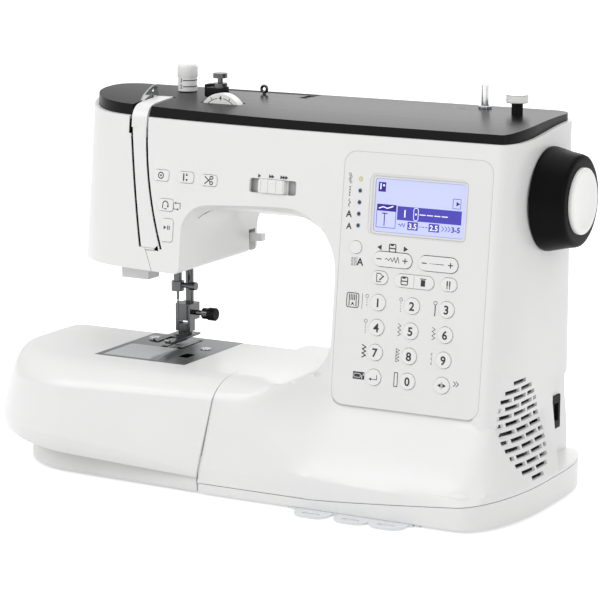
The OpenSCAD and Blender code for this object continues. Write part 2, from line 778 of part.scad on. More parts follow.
module thread_guides() color(steel) {
    rod_z(3, guide_x, guide_y, 262, 278);
    box([guide_x - 6.5, guide_y - 5, 277.2], [guide_x + 6.5, guide_y + 6, 285]);
    rod_z(5.5, guide_x + 2, guide_y + 1, 284.9, 288);
    rod_z(2, guide_x + 2, guide_y + 1, 287.9, 292);
    rod_z(5.5, guide_x + 2, guide_y + 1, 291.9, 295.5);
    rod_z(1.2, hook_x, hook_z, 262, 279.2);
    translate([hook_x, hook_z, 281.6]) rotate([90, 0, 0]) rotate_extrude($fn = 32)
        translate([2.4, 0]) circle(r = 1.1, $fn = 16);
    rod_z(4, stop_x, stop_y, 262, 286);
    rod_z(8, stop_x, stop_y, 285.5, 291);
}

module cover_screws() color(steel) {
    for (p = back_screws) {
        rod_y(1.7, p[0], back_y - 6, back_y - 1, p[1]);
        difference() {
            rod_y(3.5, p[0], back_y - 1.2, back_y, p[1]);
            box([p[0] - 2.4, back_y - 0.6, p[1] - 0.4], [p[0] + 2.4, back_y + 1, p[1] + 0.4]);
        }
    }
    for (p = plate_screws) {
        rod_z(1.6, p[0], p[1], bed_h - 6, bed_h + 0.1);
        difference() {
            rod_z(4, p[0], p[1], bed_h, bed_h + 0.9);
            box([p[0] - 5, p[1] - 0.5, bed_h + 0.4], [p[0] + 5, p[1] + 0.5, bed_h + 2]);
        }
    }
}

module frame_casting() color(cast) difference() {
    union() {
        box([112, 46, tray_floor], [148, 74, 258]);
        box([90, 42, tray_floor], [168, 84, tray_floor + 8]);
        box([-112, 44, 240], [132, 56, 258]);
        box([-112, 47, lug_low], [-85.5, 55, 258]);
        for (z = [lug_low, lug_high])
            box([needle_x - 7, needle_y - 7, z], [needle_x + 7, 48, z + lug_h]);
        for (x = [-70, 120]) box([x, shaft_y - 8, shaft_z - 9], [x + 12, 56, 242]);
        box([-132, -30, arm_under + wall], [112, 44, 50]);
        box([90, 43, arm_under + wall], [148, 74, 50]);
        rod_z(8, needle_x, hook_y, 49, 57);
        box([-119.5, lever_y - 4, lever_z - 6], [-111, 48, lever_z + 6]);
        rod_x(2, lever_x - 2, -119, lever_y, lever_z);
        box([threader_x - 4, threader_y - 4, 180], [threader_x + 24, threader_y + 4, 188]);
        box([threader_x + 18, threader_y - 4, 180], [threader_x + 26, 48, 188]);
        box([tension_x - 6, 40, 256], [tension_x + 6, 48, 269]);
        box([144, motor_y - 21, motor_z - 21], [motor_x, 74, motor_z + 21]);
    }
    for (y = [needle_y, presser_y]) rod_z(bar_r + run_gap, needle_x, y, 150, 220);
    rod_x(shaft_r + run_gap, -75, 140, shaft_y, shaft_z);
    rod_z(3 + run_gap, needle_x, hook_y, 38, 60);
    rod_z(2 + run_gap, threader_x, threader_y, 170, 200);
    rod_y(3 + run_gap, lifter_x, 45, 58, lifter_z);
    rod_y(2.5 + run_gap, tension_x, 38, 50, tension_z);
    rod_x(4, motor_x - 15, motor_x + 1, motor_y, motor_z);
}

// ---------------------------------------------------------------- moving nodes

module handwheel() color(black) translate([0, shaft_y, shaft_z]) rotate([0, 90, 0]) difference() {
    rotate_extrude() polygon([[shaft_r, column_right + 0.3], [flange_r, column_right + 0.3],
        [flange_r, 205.2], [flange_r - 1.2, 210], [wheel_r + 1.9, 217],
        [wheel_r + 0.7, wheel_end - 3.2], [wheel_r, wheel_end - 1.2], [wheel_r - 1.4, wheel_end - 0.3],
        [wheel_r - 3.2, wheel_end], [cap_r + 2, wheel_end], [cap_r, wheel_end - 1],
        [cap_r, 228.6], [cap_r - 1.4, 230], [cap_r - 4, 230], [cap_r - 9, 228.8], [0, 228.8],
        [0, 222], [shaft_r, 222]]);
}

module main_shaft() color(steel) {
    rod_x(shaft_r, -84, 222, shaft_y, shaft_z);
    rod_x(16, -84, -80, shaft_y, shaft_z);
}

module needle_bar() color(steel) difference() {
    union() {
        rod_z(bar_r, needle_x, needle_y, 129, 255);
        rod_z(5, needle_x, needle_y, 129, 136.5);
        rod_x(2, needle_x, needle_x + 12, needle_y, 133.5);
        rod_x(3.2, needle_x + 11, needle_x + 16.4, needle_y, 133.5);
    }
    rod_z(1, needle_x, needle_y, 128, 137);
}

module needle() color(steel) translate([needle_x, needle_y, needle_tip]) {
    cylinder(r1 = 0.15, r2 = 0.6, h = 6);
    translate([0, 0, 6]) cylinder(r = 0.6, h = 18);
    translate([0, 0, 24]) cylinder(r = 1, h = 15);
}

module take_up_lever() color(steel) difference() {
    union() {
        rod_x(4.2, lever_x - 0.6, lever_x + 0.6, lever_y, lever_z);
        sweep_x(lever_x - 0.6, lever_x + 0.6, [[lever_y - 3, lever_z], [lever_y + 3, lever_z],
            [31.5, 284.6], [29.5, 286], [26, 285.2], [19, 282.5], [12.5, 279], [9, 275.6],
            [10.6, 273.8], [16, 276.4], [22, 278.6], [26, 277.5]]);
    }
    rod_x(2 + run_gap, lever_x - 2, lever_x + 2, lever_y, lever_z);
    rod_x(1.3, lever_x - 2, lever_x + 2, 25, 281.6);
}

module presser_bar() color(steel) {
    rod_z(bar_r, needle_x, presser_y, 104, 250);
    box([needle_x - 6.5, 26.5, 104], [needle_x + 6.5, presser_y + 4, 117]);
    for (i = [-1, 1]) box([needle_x + i * 5.4 - 1.1, 26.5, 95.5], [needle_x + i * 5.4 + 1.1, 34, 105]);
    rod_x(1.5, needle_x - 6, needle_x + 6, 30, 98.5);
    rod_x(2, needle_x, needle_x + 16, 33, 110);
    rod_x(4.4, needle_x + 15, needle_x + 26, 33, 110);
    box([needle_x - 12, presser_y, 108], [needle_x - 6, presser_y + 4, 116]);
}

module presser_foot() color(steel) difference() {
    union() {
        box([needle_x - 9, -5, foot_z], [needle_x + 9, 38, foot_z + 1.6]);
        box([needle_x - 4, 26.6, foot_z + 1], [needle_x + 4, 33.4, 101.5]);
        for (i = [-1, 1]) sweep_x(needle_x + i * 7 - 2, needle_x + i * 7 + 2, [[-5, foot_z],
            [-5, foot_z + 1.6], [-8.4, foot_z + 4.2], [-9.2, foot_z + 3], [-7.4, foot_z + 1.2]]);
    }
    box([needle_x - 3, -12, foot_z - 1], [needle_x + 3, 14, foot_z + 5]);
    translate([needle_x, needle_y, foot_z - 1]) linear_extrude(4) pill(8, 4);
    rod_x(1.5 + run_gap, needle_x - 10, needle_x + 10, 30, 98.5);
}

module presser_lifter() color(white) {
    rod_y(3, lifter_x, 45, 85, lifter_z);
    rod_y(5.5, lifter_x, 84.5, 90.5, lifter_z);
    box([lifter_x, 84.5, lifter_z - 3], [-60, 90.5, lifter_z + 3]);
}

module threader_lever() color(white) {
    rod_z(2, threader_x, threader_y, 150, 212);
    box([-142, 10, 137], [-118, 26, 150.6]);
}

module speed_knob() color(white) on_face(knob_x, slider_v) {
    translate([0, 0, -wall - 2]) linear_extrude(wall + 4) round_rect(22.2, slider_l - 0.5, 1.8);
    translate([0, 0, -wall - 2]) linear_extrude(1.7) round_rect(24, slider_l + 3, 1.8);
}

module pressure_dial() color(white) {
    rod_z(3, dial_x, dial_y, 262, 279);
    rod_z(7.5, dial_x, dial_y, 277.8, 297.5);
    rod_z(7, dial_x, dial_y, 297.4, 298.5);
}

module tension_dial() color(white) {
    rod_y(tension_r, tension_x, tension_y - 4, tension_y + 4, tension_z);
    rod_y(2.5, tension_x, tension_y + 3, 47, tension_z);
}

module winder_spindle() color(steel) {
    rod_z(3, spindle_x, spindle_y, 258, 295);
    rod_z(5, spindle_x, spindle_y, 277.5, 279.5);
    rod_z(6, spindle_x, spindle_y, 258, 260);
}

module feed_dog() color(steel) {
    for (i = [-1, 1]) difference() {
        box([needle_x + i * 6.75 - 2.2, 11, hook_top + 0.8], [needle_x + i * 6.75 + 2.2, 39, 86.4]);
        for (y = [11:1.4:39]) translate([needle_x + i * 6.75 - 3, y, 86.4]) rotate([45, 0, 0])
            cube([6, 0.8, 0.8]);
    }
    box([needle_x - 8.9, 27, 74], [needle_x + 8.9, 39, hook_top + 1.4]);
    box([needle_x - 3, 28, 52], [needle_x + 3, 36, 75]);
    box([needle_x - 10, 24, 50.2], [needle_x + 10, 40, 56]);
}

module rotary_hook() color(steel) translate([needle_x, hook_y, 0]) rotate_extrude()
    polygon([[0, 44], [3, 44], [3, 57.3], [7, 57.3], [7, 60], [hook_r - 2, 60], [hook_r, 62],
        [hook_r, hook_top - 1.5], [hook_r - 1.5, hook_top], [seat_r, hook_top], [seat_r, 65.6],
        [0, 65.6]]);

module bobbin() color([0.8, 0.2, 0.25]) translate([needle_x, hook_y, 66.2]) rotate_extrude()
    polygon([[3, 0], [bobbin_r, 0], [bobbin_r, 1], [8, 1], [8, 10.5], [bobbin_r, 10.5],
        [bobbin_r, 11.5], [3, 11.5]]);

// Half length and half width of the box's rounded end at height z.
function box_a(z) = lookup(z, [[13, 66], [18, 77], [25, 93], [box_wide_z, box_r + box_bulge],
    [50, 92], [bed_h, box_r]]) - (z > bed_h - 5 ? 5 - sqrt(25 - pow(z - bed_h + 5, 2)) : 0);
function box_b(z) = lookup(z, [[13, 79], [18, 82], [25, 85], [box_wide_z, 86], [50, 84.5],
    [bed_h, 80]]);

module box_layer(z, t) translate([0, 0, z]) linear_extrude(eps)
    polygon(concat([[0, bed_line(z, t) + edge_in(z, t)]],
        arc([box_cx, box_cy], box_a(z) - t, box_b(z) - t - edge_in(z, t), 270, 180, 16),
        arc([box_cx - box_a(z) + 8, arm_back - 8], 8 - t, 8 - t, 180, 90, 4),
        [[0, arm_back - t]]));

module box_body(t, levels) hull() for (z = levels) box_layer(z, t);

module accessory_box() color(white) difference() {
    intersection() {
        box_body(0, [13, 18, 25, box_wide_z, 50, 68, 71, 75, 79, 82, 84, 85.3, bed_h - eps]);
        sweep_y(-120, 120, [[-260, 25], [-230, 25], [box_seam_bottom - box_gap, 13],
            [box_seam_top - box_gap, bed_h + 1], [-260, bed_h + 1]]);
    }
    box([arm_left - box_gap, arm_front - box_gap, tray_ext_z + box_gap + wall], [10, 80, 100]);
    difference() {
        box_body(wall, [tray_ext_z + box_gap + wall, box_wide_z, 50, 68, 75, 80, bed_h - wall - eps]);
        box([arm_left - box_gap - wall, arm_front - box_gap - wall, 0], [10, 80, 100]);
    }
    box_body(wall, [10, 18, 25, tray_ext_z + box_gap - eps]);
}

module stitch_charts() color([0.9, 0.92, 0.94, 0.6]) difference() {
    union() {
        box([56.4, base_front - 2, 0.95], [153.6, 36, 1.8]);
        for (x = [77, 109, 137]) translate([x, -83, 0.95]) linear_extrude(0.85) round_rect(28, 23, 10);
    }
    for (x = [77, 109, 137]) translate([x, -87, -1]) linear_extrude(5) pill(14, 4);
}

module carry_handle() color(black) {
    for (x = [handle_l, handle_r - 6]) {
        box([x, handle_y, handle_z - 2.7], [x + 6, grip_y + 0.4, handle_z + 2.3]);
        rod_x(2.7, x, x + 6, handle_y, handle_z);
    }
    box([handle_l, grip_y, rim_h + rim_rise + 1.1], [handle_r, back_y - 5, 277.2]);
    rod_x(1.5, handle_l - 2, handle_l + 1, handle_y, handle_z);
    rod_x(1.5, handle_r - 1, handle_r + 2, handle_y, handle_z);
}

module round_key(n) color(white) key(keys[n]);
module key_1() round_key(0);
module key_2() round_key(1);
module key_3() round_key(2);
module key_4() round_key(3);
module key_5() round_key(4);
module key_6() round_key(5);
module key_7() round_key(6);
module key_8() round_key(7);
module key_9() round_key(8);
module key_enter() round_key(9);
module key_0() round_key(10);
module key_mirror() round_key(11);
module width_rocker() color(white) rocker(rockers[0]);
module length_rocker() color(white) rocker(rockers[1]);
module save_erase_key() color(white) oval_key(ovals[0]);
module edit_key() color(white) oval_key(ovals[1]);
module twin_needle_key() color(white) oval_key(ovals[2]);
module mode_key() color(white) oval_key(ovals[3]);
module needle_stop_button() color(white) button(head_buttons[0]);
module needle_up_button() color(white) button(head_buttons[1]);
module thread_cut_button() color(white) button(head_buttons[2]);
module lock_button() color(white) button(head_buttons[3]);
module start_button() color(white) button(head_buttons[4]);

base_tray();
rubber_feet();
frame_casting();
front_cover();
rear_cover();
free_arm();
needle_plate();
face_cover();
thread_strip();
top_cover();
face_cap();
control_panel();
display_module();
power_inlet();
drive_motor();
thread_guides();
cover_screws();
handwheel();
main_shaft();
needle_bar();
needle();
take_up_lever();
presser_bar();
presser_foot();
presser_lifter();
threader_lever();
speed_knob();
pressure_dial();
tension_dial();
winder_spindle();
bobbin_cover();
feed_dog();
rotary_hook();
bobbin();
accessory_box();
stitch_charts();
carry_handle();
key_1();
key_2();
key_3();
key_4();
key_5();
key_6();
key_7();
key_8();
key_9();
key_enter();
key_0();
key_mirror();
width_rocker();
length_rocker();
save_erase_key();
edit_key();
twin_needle_key();
mode_key();
needle_stop_button();
needle_up_button();
thread_cut_button();
lock_button();
start_button();
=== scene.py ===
"""Dressing of a computerised free-arm sewing machine around its fixed frame."""
import json
import logging
import math
from dataclasses import dataclass, field
from enum import Enum
from typing import Callable, Iterable, Sequence

import bmesh
import bpy
from mathutils import Matrix, Vector


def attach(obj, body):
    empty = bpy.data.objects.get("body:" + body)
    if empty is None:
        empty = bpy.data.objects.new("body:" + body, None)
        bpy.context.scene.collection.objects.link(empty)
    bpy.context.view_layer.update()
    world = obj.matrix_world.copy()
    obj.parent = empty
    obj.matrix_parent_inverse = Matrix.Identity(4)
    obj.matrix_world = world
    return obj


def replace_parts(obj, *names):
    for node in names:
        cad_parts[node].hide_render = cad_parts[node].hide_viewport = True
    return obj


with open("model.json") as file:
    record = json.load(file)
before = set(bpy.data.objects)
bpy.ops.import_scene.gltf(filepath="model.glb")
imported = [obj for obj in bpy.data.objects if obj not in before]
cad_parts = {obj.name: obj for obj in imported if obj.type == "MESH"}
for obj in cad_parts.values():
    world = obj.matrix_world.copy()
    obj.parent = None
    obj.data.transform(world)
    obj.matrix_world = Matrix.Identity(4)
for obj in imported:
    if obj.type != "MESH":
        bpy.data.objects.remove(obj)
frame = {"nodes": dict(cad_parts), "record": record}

LOG = logging.getLogger("sewing_machine")
MM = 0.001

# The front face: its lean, its depth at the table, and the head's bow towards the left end.
LEAN = math.radians(7.0)
FRONT_Y = -50.7
BOW_X = 65.0
BOW_LEN = 193.0
BOW_DEPTH = 15.0

# The black cover's crown: height of its rim, its rise, its highest line and how far it falls.
RIM_Z = 271.0
RIM_RISE = 6.5
CROWN_Y = 77.5
CROWN_REACH = 97.5

# Prints: letter height to font size, boldness of letters, and the steps that keep marks of one
# print from lying in the same plane.
FONT_RATIO = 1.38
FONT_BOLD = 0.034
LAYER_STEP = 0.0015
LAYERS = 9

# How far the print on keys and buttons stands above the leaning front.
CAP_PROUD = 1.05

# Frame meshes: how near corners are welded, in metres, how flat an edge is dissolved, how steep
# one is rounded, and above which angle in degrees an edge of a rounded copy stays sharp.
WELD = 2e-6
FLAT = math.radians(0.4)
STEEP = math.radians(32.0)
SHARP = 40.0

# How far a finish's roughness varies either way.
ROUGH_SPREAD = 0.05

BODY_OF = {node: body for body, nodes in frame["record"]["behaviour"]["bodies"].items()
           for node in nodes}

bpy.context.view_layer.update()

Point2 = tuple[float, float]
Point3 = tuple[float, float, float]
Placing = Callable[[float, float, float], Vector]
Shape = bmesh.types.BMesh
Piece = bpy.types.Object
Tree = bpy.types.NodeTree
Node = bpy.types.Node
Socket = bpy.types.NodeSocket


# ---------- data blocks


def bare_tree(owner: bpy.types.Material | bpy.types.World) -> Tree:
    """Gives a material or a world an empty node tree.

    Args:
        owner: The material or world.

    Returns:
        Its node tree.
    """
    owner.use_nodes = True
    owner.node_tree.nodes.clear()
    return owner.node_tree


def wire(node: Node, **inputs: object) -> None:
    """Sets a shader node's inputs.

    Args:
        node: The node.
        **inputs: What goes into each input, with underscores for spaces in its name: a value,
            or another node's output, which is linked to it.
    """
    for name, value in inputs.items():
        socket = node.inputs[name.replace("_", " ")]
        if isinstance(value, Socket):
            node.id_data.links.new(value, socket)
        else:
            socket.default_value = value


def add_node(tree: Tree, kind: str, **inputs: object) -> Node:
    """Adds a shader node and sets its inputs.

    Args:
        tree: The node tree it goes into.
        kind: The node's type, without the leading "ShaderNode".
        **inputs: Its inputs, as in wire().

    Returns:
        The new node.
    """
    node = tree.nodes.new(f"ShaderNode{kind}")
    wire(node, **inputs)
    return node


def link_object(name: str, data: bpy.types.ID) -> Piece:
    """Makes an object and links it to the scene.

    Args:
        name: The object's name.
        data: Its mesh, curve, lamp or camera.

    Returns:
        The new object.
    """
    made = bpy.data.objects.new(name, data)
    bpy.context.scene.collection.objects.link(made)
    return made


def to_mesh(shape: Shape, name: str) -> bpy.types.Mesh:
    """Turns a shape into a mesh and frees the shape.

    Args:
        shape: The shape, in metres.
        name: The mesh's name.

    Returns:
        The new mesh.
    """
    mesh = bpy.data.meshes.new(name)
    shape.to_mesh(mesh)
    shape.free()
    return mesh


# ---------- finishes


class Grain(Enum):
    """Scale of a finish's fine surface detail along x, y and z."""

    NONE = (0.0, 0.0, 0.0)
    FINE = (900.0, 900.0, 900.0)
    BRUSHED_X = (12.0, 900.0, 900.0)
    BRUSHED_Z = (900.0, 900.0, 12.0)
    CAST = (420.0, 420.0, 420.0)


@dataclass(frozen=True)
class Finish:
    """One surface finish, built once as a procedural material."""

    name: str
    slot: str
    colour: Point3
    roughness: float
    metallic: float = 0.0
    coat: float = 0.0
    grain: Grain = Grain.FINE
    relief: float = 0.02
    tint: float = 0.02
    glow: float = 0.0
    shine: float = 0.5

    def material(self) -> bpy.types.Material:
        """Builds the material, or returns the one already built.

        Returns:
            The material with this finish's name.
        """
        found = bpy.data.materials.get(self.name)
        if found is not None:
            return found
        mat = bpy.data.materials.new(self.name)
        tree = bare_tree(mat)
        coords = add_node(tree, "TexCoord").outputs["Object"]
        shader = add_node(tree, "BsdfPrincipled", Metallic=self.metallic, Coat_Weight=self.coat,
                          Coat_Roughness=0.08, Specular_IOR_Level=self.shine,
                          Base_Color=self._colour(tree, coords), **self._surface(tree, coords))
        if self.glow > 0.0:
            wire(shader, Emission_Color=(*self.colour, 1.0), Emission_Strength=self.glow)
        add_node(tree, "OutputMaterial", Surface=shader.outputs["BSDF"])
        mat.diffuse_color = (*self.colour, 1.0)
        return mat

    def _colour(self, tree: Tree, coords: Socket) -> Socket:
        """Gives the base colour a faint broad unevenness.

        Args:
            tree: The material's node tree.
            coords: Its texture coordinates.

        Returns:
            The output with the colour.
        """
        noise = add_node(tree, "TexNoise", Scale=22.0, Detail=3.0, Vector=coords)
        mix = add_node(tree, "Mix")
        mix.data_type = "RGBA"
        low = tuple(max(0.0, c * (1.0 - self.tint)) for c in self.colour)
        high = tuple(min(1.0, c * (1.0 + self.tint)) for c in self.colour)
        wire(mix, Factor=noise.outputs["Fac"], A=(*low, 1.0), B=(*high, 1.0))
        return mix.outputs["Result"]

    def _surface(self, tree: Tree, coords: Socket) -> dict:
        """Varies the roughness and lays the fine grain.

        Args:
            tree: The material's node tree.
            coords: Its texture coordinates.

        Returns:
            The main shader's inputs for roughness and grain.
        """
        if self.grain is Grain.NONE:
            return {"Roughness": self.roughness}
        mapping = add_node(tree, "Mapping", Scale=self.grain.value, Vector=coords)
        noise = add_node(tree, "TexNoise", Scale=1.0, Detail=2.0, Vector=mapping.outputs["Vector"])
        spread = add_node(tree, "MapRange", To_Min=max(0.02, self.roughness - ROUGH_SPREAD),
                          To_Max=min(1.0, self.roughness + ROUGH_SPREAD),
                          Value=noise.outputs["Fac"])
        bump = add_node(tree, "Bump", Strength=self.relief, Distance=0.0004,
                        Height=noise.outputs["Fac"])
        return {"Roughness": spread.outputs["Result"], "Normal": bump.outputs["Normal"]}


WHITE = Finish("casing_white", "white_plastic", (0.83, 0.83, 0.825), 0.36, coat=0.15)
PANEL = Finish("panel_satin", "panel_white", (0.81, 0.81, 0.805), 0.45, relief=0.05)
KEYCAP = Finish("key_cap", "key_white", (0.84, 0.84, 0.835), 0.3, coat=0.2)
# White plastic painted mid grey as shade: the recess behind the speed slider and the grooves round
# the panel and the display.
RECESS_SHADE = Finish("painted_recess_shade", "white_plastic", (0.5, 0.5, 0.5), 0.6)
GLOSS = Finish("gloss_black", "black_gloss", (0.008, 0.008, 0.009), 0.3, tint=0.08, shine=0.13)
MATTE = Finish("matte_black", "black_matte", (0.01, 0.01, 0.011), 0.55, tint=0.1, shine=0.12)
CHROME = Finish("polished_steel", "polished_steel", (0.24, 0.243, 0.248), 0.17, 1.0)
BAR = Finish("dark_steel", "polished_steel", (0.12, 0.121, 0.124), 0.2, 1.0)
PLATE = Finish("brushed_plate", "brushed_steel", (0.2, 0.205, 0.21), 0.36, 1.0,
               grain=Grain.BRUSHED_X, relief=0.12)
SHAFT = Finish("turned_steel", "brushed_steel", (0.5, 0.51, 0.52), 0.26, 1.0,
               grain=Grain.BRUSHED_Z, relief=0.08)
CAST = Finish("cast_alloy", "cast_alloy", (0.42, 0.43, 0.44), 0.5, 0.8, grain=Grain.CAST,
              relief=0.25)
RUBBER = Finish("soft_rubber", "rubber_black", (0.03, 0.03, 0.03), 0.75, relief=0.1)
CLEAR = Finish("clear_cover", "clear_plastic", (0.42, 0.44, 0.45), 0.12, coat=0.6, grain=Grain.NONE)
FROST = Finish("frosted_sheet", "frosted_plastic", (0.74, 0.76, 0.78), 0.3, coat=0.3)
DIAL = Finish("dial_white", "dial_white", (0.74, 0.74, 0.735), 0.35, coat=0.2)
INK = Finish("print_black", "panel_white", (0.035, 0.035, 0.04), 0.55, grain=Grain.NONE)
INK_GREY = Finish("print_grey", "panel_white", (0.022, 0.022, 0.025), 0.55, grain=Grain.NONE)
BLACK = Finish("drum_black", "black_gloss", (0.004, 0.004, 0.004), 0.4, tint=0.05, shine=0.06)
# Pure black with no shine or grain: painted shade, standing in for the shade inside the thread
# slots and the plate's latch hole.
SHADE_BLACK = Finish("painted_opening_shade", "black_matte", (0.003, 0.003, 0.003), 0.9, shine=0.0, grain=Grain.NONE)
INK_PALE = Finish("print_pale", "black_gloss", (0.42, 0.42, 0.43), 0.55, grain=Grain.NONE)
LAMP_OFF = Finish("lamp_off", "display_glass", (0.01, 0.05, 0.02), 0.25, grain=Grain.NONE)
LAMP_ON = Finish("lamp_on", "display_glass", (0.62, 0.62, 0.04), 0.25, grain=Grain.NONE, glow=0.2)
LCD = Finish("display_pane", "display_glass", (0.52, 0.56, 0.9), 0.25, glow=0.28,
             grain=Grain.NONE, tint=0.03)
LCD_BAND = Finish("display_band", "display_glass", (0.06, 0.05, 0.42), 0.3, grain=Grain.NONE,
                  glow=0.2)
LCD_INK = Finish("display_dots", "display_glass", (0.035, 0.01, 0.28), 0.3, grain=Grain.NONE,
                 glow=0.1)
LCD_PALE = Finish("display_light", "display_glass", (0.8, 0.82, 1.0), 0.3, grain=Grain.NONE,
                  glow=0.3)


# ---------- placing


def bow(x: float) -> float:
    """Depth in mm of the casing's front behind its flat front plane at x."""
    return BOW_DEPTH * ((BOW_X - x) / BOW_LEN) ** 2 if x < BOW_X else 0.0


def on_front(x: float, v: float, out: float) -> Vector:
    """Places a point on the leaning front face.

    Args:
        x: Distance along the machine in mm.
        v: Distance up the leaning face from the table in mm.
        out: Height above the face in mm.

    Returns:
        The point in metres.
    """
    depth = bow(x) - out
    y = FRONT_Y + v * math.sin(LEAN) + depth * math.cos(LEAN)
    z = v * math.cos(LEAN) - depth * math.sin(LEAN)
    return Vector((x, y, z)) * MM


def face_frame(x: float, v: float, depth: float = 0.0) -> Matrix:
    """Places a part in the leaning front face, its y into the face and its z up the face.

    Args:
        x: Distance along the machine in mm.
        v: Distance up the leaning face from the table in mm.
        depth: Depth below the face in mm.

    Returns:
        The placing, in mm.
    """
    return (Matrix.Translation((0.0, FRONT_Y, 0.0)) @ Matrix.Rotation(-LEAN, 4, "X")
            @ Matrix.Translation((x, bow(x) + depth, v)))


def level_at(z: float) -> Placing:
    """Makes a placing for marks on a level face z mm high: x, y and height above it."""
    return lambda x, y, out: Vector((x, y, z + out)) * MM


def round_post(x: float, y: float, radius: float) -> Placing:
    """Makes a placing for marks round an upright post, with x = 0 facing the front.

    Args:
        x: The post's place along the machine in mm.
        y: Its place in depth in mm.
        radius: Its radius in mm.

    Returns:
        A function from distance round the post, height and height above its skin.
    """
    def place(along: float, z: float, out: float) -> Vector:
        """Places one point, given in mm round the post, up it and above its skin."""
        turn, reach = along / radius, radius + out
        return Vector((x + reach * math.sin(turn), y - reach * math.cos(turn), z)) * MM
    return place


def on_crown(x: float, y: float, out: float) -> Vector:
    """Places a point on the black cover's crown.

    Args:
        x: Distance along the machine in mm.
        y: Distance to the back in mm.
        out: Height above the crown in mm.

    Returns:
        The point in metres.
    """
    rise = RIM_RISE * (1.0 - ((CROWN_Y - y) / CROWN_REACH) ** 2)
    return Vector((x, y, RIM_Z + rise + out)) * MM


def upright_at(y: float) -> Placing:
    """Makes a placing for marks on an upright face at depth y: x, z and height above it."""
    return lambda x, z, out: Vector((x, y - out, z)) * MM


# ---------- shapes


def round_edges(shape: Shape, edges: Sequence[bmesh.types.BMEdge], width: float) -> None:
    """Rounds edges of a shape by a width in the shape's own unit."""
    bmesh.ops.bevel(shape, geom=edges, offset=width, offset_type="OFFSET", segments=2,
                    profile=0.5, affect="EDGES", clamp_overlap=True, material=-1)


def add_block(shape: Shape, low: Point3, high: Point3, bevel: float,
              matrix: Matrix | None = None) -> None:
    """Adds a box to a shape.

    Args:
        shape: The shape it is added to.
        low: Its low corner in mm.
        high: Its high corner in mm.
        bevel: Rounding of its edges in mm; 0 leaves them sharp.
        matrix: Placing applied to the box, in mm.
    """
    centre = (Vector(low) + Vector(high)) / 2
    size = Vector(high) - Vector(low)
    local = Matrix.Translation(centre) @ Matrix.Diagonal((*size, 1.0))
    part = bmesh.new()
    bmesh.ops.create_cube(part, size=1.0, matrix=local)
    if bevel > 0.0:
        round_edges(part, part.edges[:], bevel)
    placing = Matrix.Scale(MM, 4) @ (matrix or Matrix.Identity(4))
    bmesh.ops.transform(part, matrix=placing, verts=part.verts)
    merge(shape, part)


def merge(shape: Shape, part: Shape) -> None:
    """Adds a part to a shape and frees the part.

    Args:
        shape: The shape that grows.
        part: The part added.
    """
    mesh = to_mesh(part, "part")
    shape.from_mesh(mesh)
    bpy.data.meshes.remove(mesh)


def turned(profile: Sequence[Point2], matrix: Matrix, steps: int) -> Shape:
    """Makes a turned solid.

    Args:
        profile: Radius and height pairs in mm, from the axis back to the axis, or a closed ring.
        matrix: Placing of the axis, its z along the axis, in mm.
        steps: Steps round the turn.

    Returns:
        The shape, in metres.
    """
    shape = bmesh.new()
    verts = [shape.verts.new((radius, 0.0, height)) for radius, height in profile]
    edges = [shape.edges.new(pair) for pair in zip(verts, verts[1:])]
    if profile[0][0] > 0.0:
        edges.append(shape.edges.new((verts[-1], verts[0])))
    bmesh.ops.spin(shape, geom=verts + edges, cent=(0.0, 0.0, 0.0), axis=(0.0, 0.0, 1.0),
                   angle=math.tau, steps=steps, use_merge=True)
    bmesh.ops.remove_doubles(shape, verts=shape.verts, dist=1e-4)
    bmesh.ops.recalc_face_normals(shape, faces=shape.faces)
    bmesh.ops.transform(shape, matrix=Matrix.Scale(MM, 4) @ matrix, verts=shape.verts)
    return shape


def add_piece(shape: Shape, name: str, finish: Finish, body: str = "machine",
              smooth: float = 35.0) -> Piece:
    """Turns a bmesh into a finished piece that rides on a body.

    Args:
        shape: The shape, in metres in the machine's frame. It is freed.
        name: The piece's name.
        finish: The finish it gets.
        body: The body it rides on.
        smooth: Angle in degrees above which an edge stays sharp.

    Returns:
        The new object.
    """
    mesh = to_mesh(shape, name)
    mesh.shade_smooth()
    mesh.set_sharp_from_angle(angle=math.radians(smooth))
    piece = link_object(name, mesh)
    mesh.materials.append(finish.material())
    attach(piece, body)
    LOG.info("%s: %d faces", name, len(mesh.polygons))
    return piece


@dataclass(frozen=True)
class Sweep:
    """A stretch of outer skin whose flat facets are blended into one smooth sweep.

    The box from low to high and the net's pitch are in mm, in the machine's frame.
    """

    low: Point3
    high: Point3
    facing: Point3 = (0.0, -0.75, 0.66)
    pitch: Point3 = (7.0, 7.0, 4.0)
    rounds: int = 40

    def _holds(self, face: bmesh.types.BMFace) -> bool:
        """Tells whether a face belongs to the stretch.

        Args:
            face: The face, in metres.

        Returns:
            True where its middle is in the stretch's box and it looks the stretch's way.
        """
        spot = face.calc_center_median() / MM
        inside = all(low < value < high for low, value, high in zip(self.low, spot, self.high))
        return inside and face.normal.dot(Vector(self.facing)) > 0.2

    def apply(self, shape: Shape) -> None:
        """Cuts the stretch into a fine net and evens it out.

        Args:
            shape: The shape, in metres.
        """
        shape.normal_update()
        for axis in range(3):
            normal = Vector([float(index == axis) for index in range(3)])
            steps = int((self.high[axis] - self.low[axis]) / self.pitch[axis])
            for step in range(1, steps):
                faces = [face for face in shape.faces if self._holds(face)]
                edges = {edge for face in faces for edge in face.edges}
                verts = {vert for face in faces for vert in face.verts}
                spot = normal * (self.low[axis] + step * self.pitch[axis]) * MM
                bmesh.ops.bisect_plane(shape, geom=faces + list(edges) + list(verts), dist=1e-6,
                                       plane_co=spot, plane_no=normal)
        shape.normal_update()
        inner = [vert for vert in shape.verts
                 if vert.link_faces and all(self._holds(face) for face in vert.link_faces)]
        for _ in range(self.rounds):
            bmesh.ops.smooth_vert(shape, verts=inner, factor=0.5, use_axis_x=True,
                                  use_axis_y=True, use_axis_z=True)
        shape.normal_update()
        crooked = [face for face in shape.faces if len(face.verts) > 4 and self._holds(face)]
        bmesh.ops.triangulate(shape, faces=crooked)


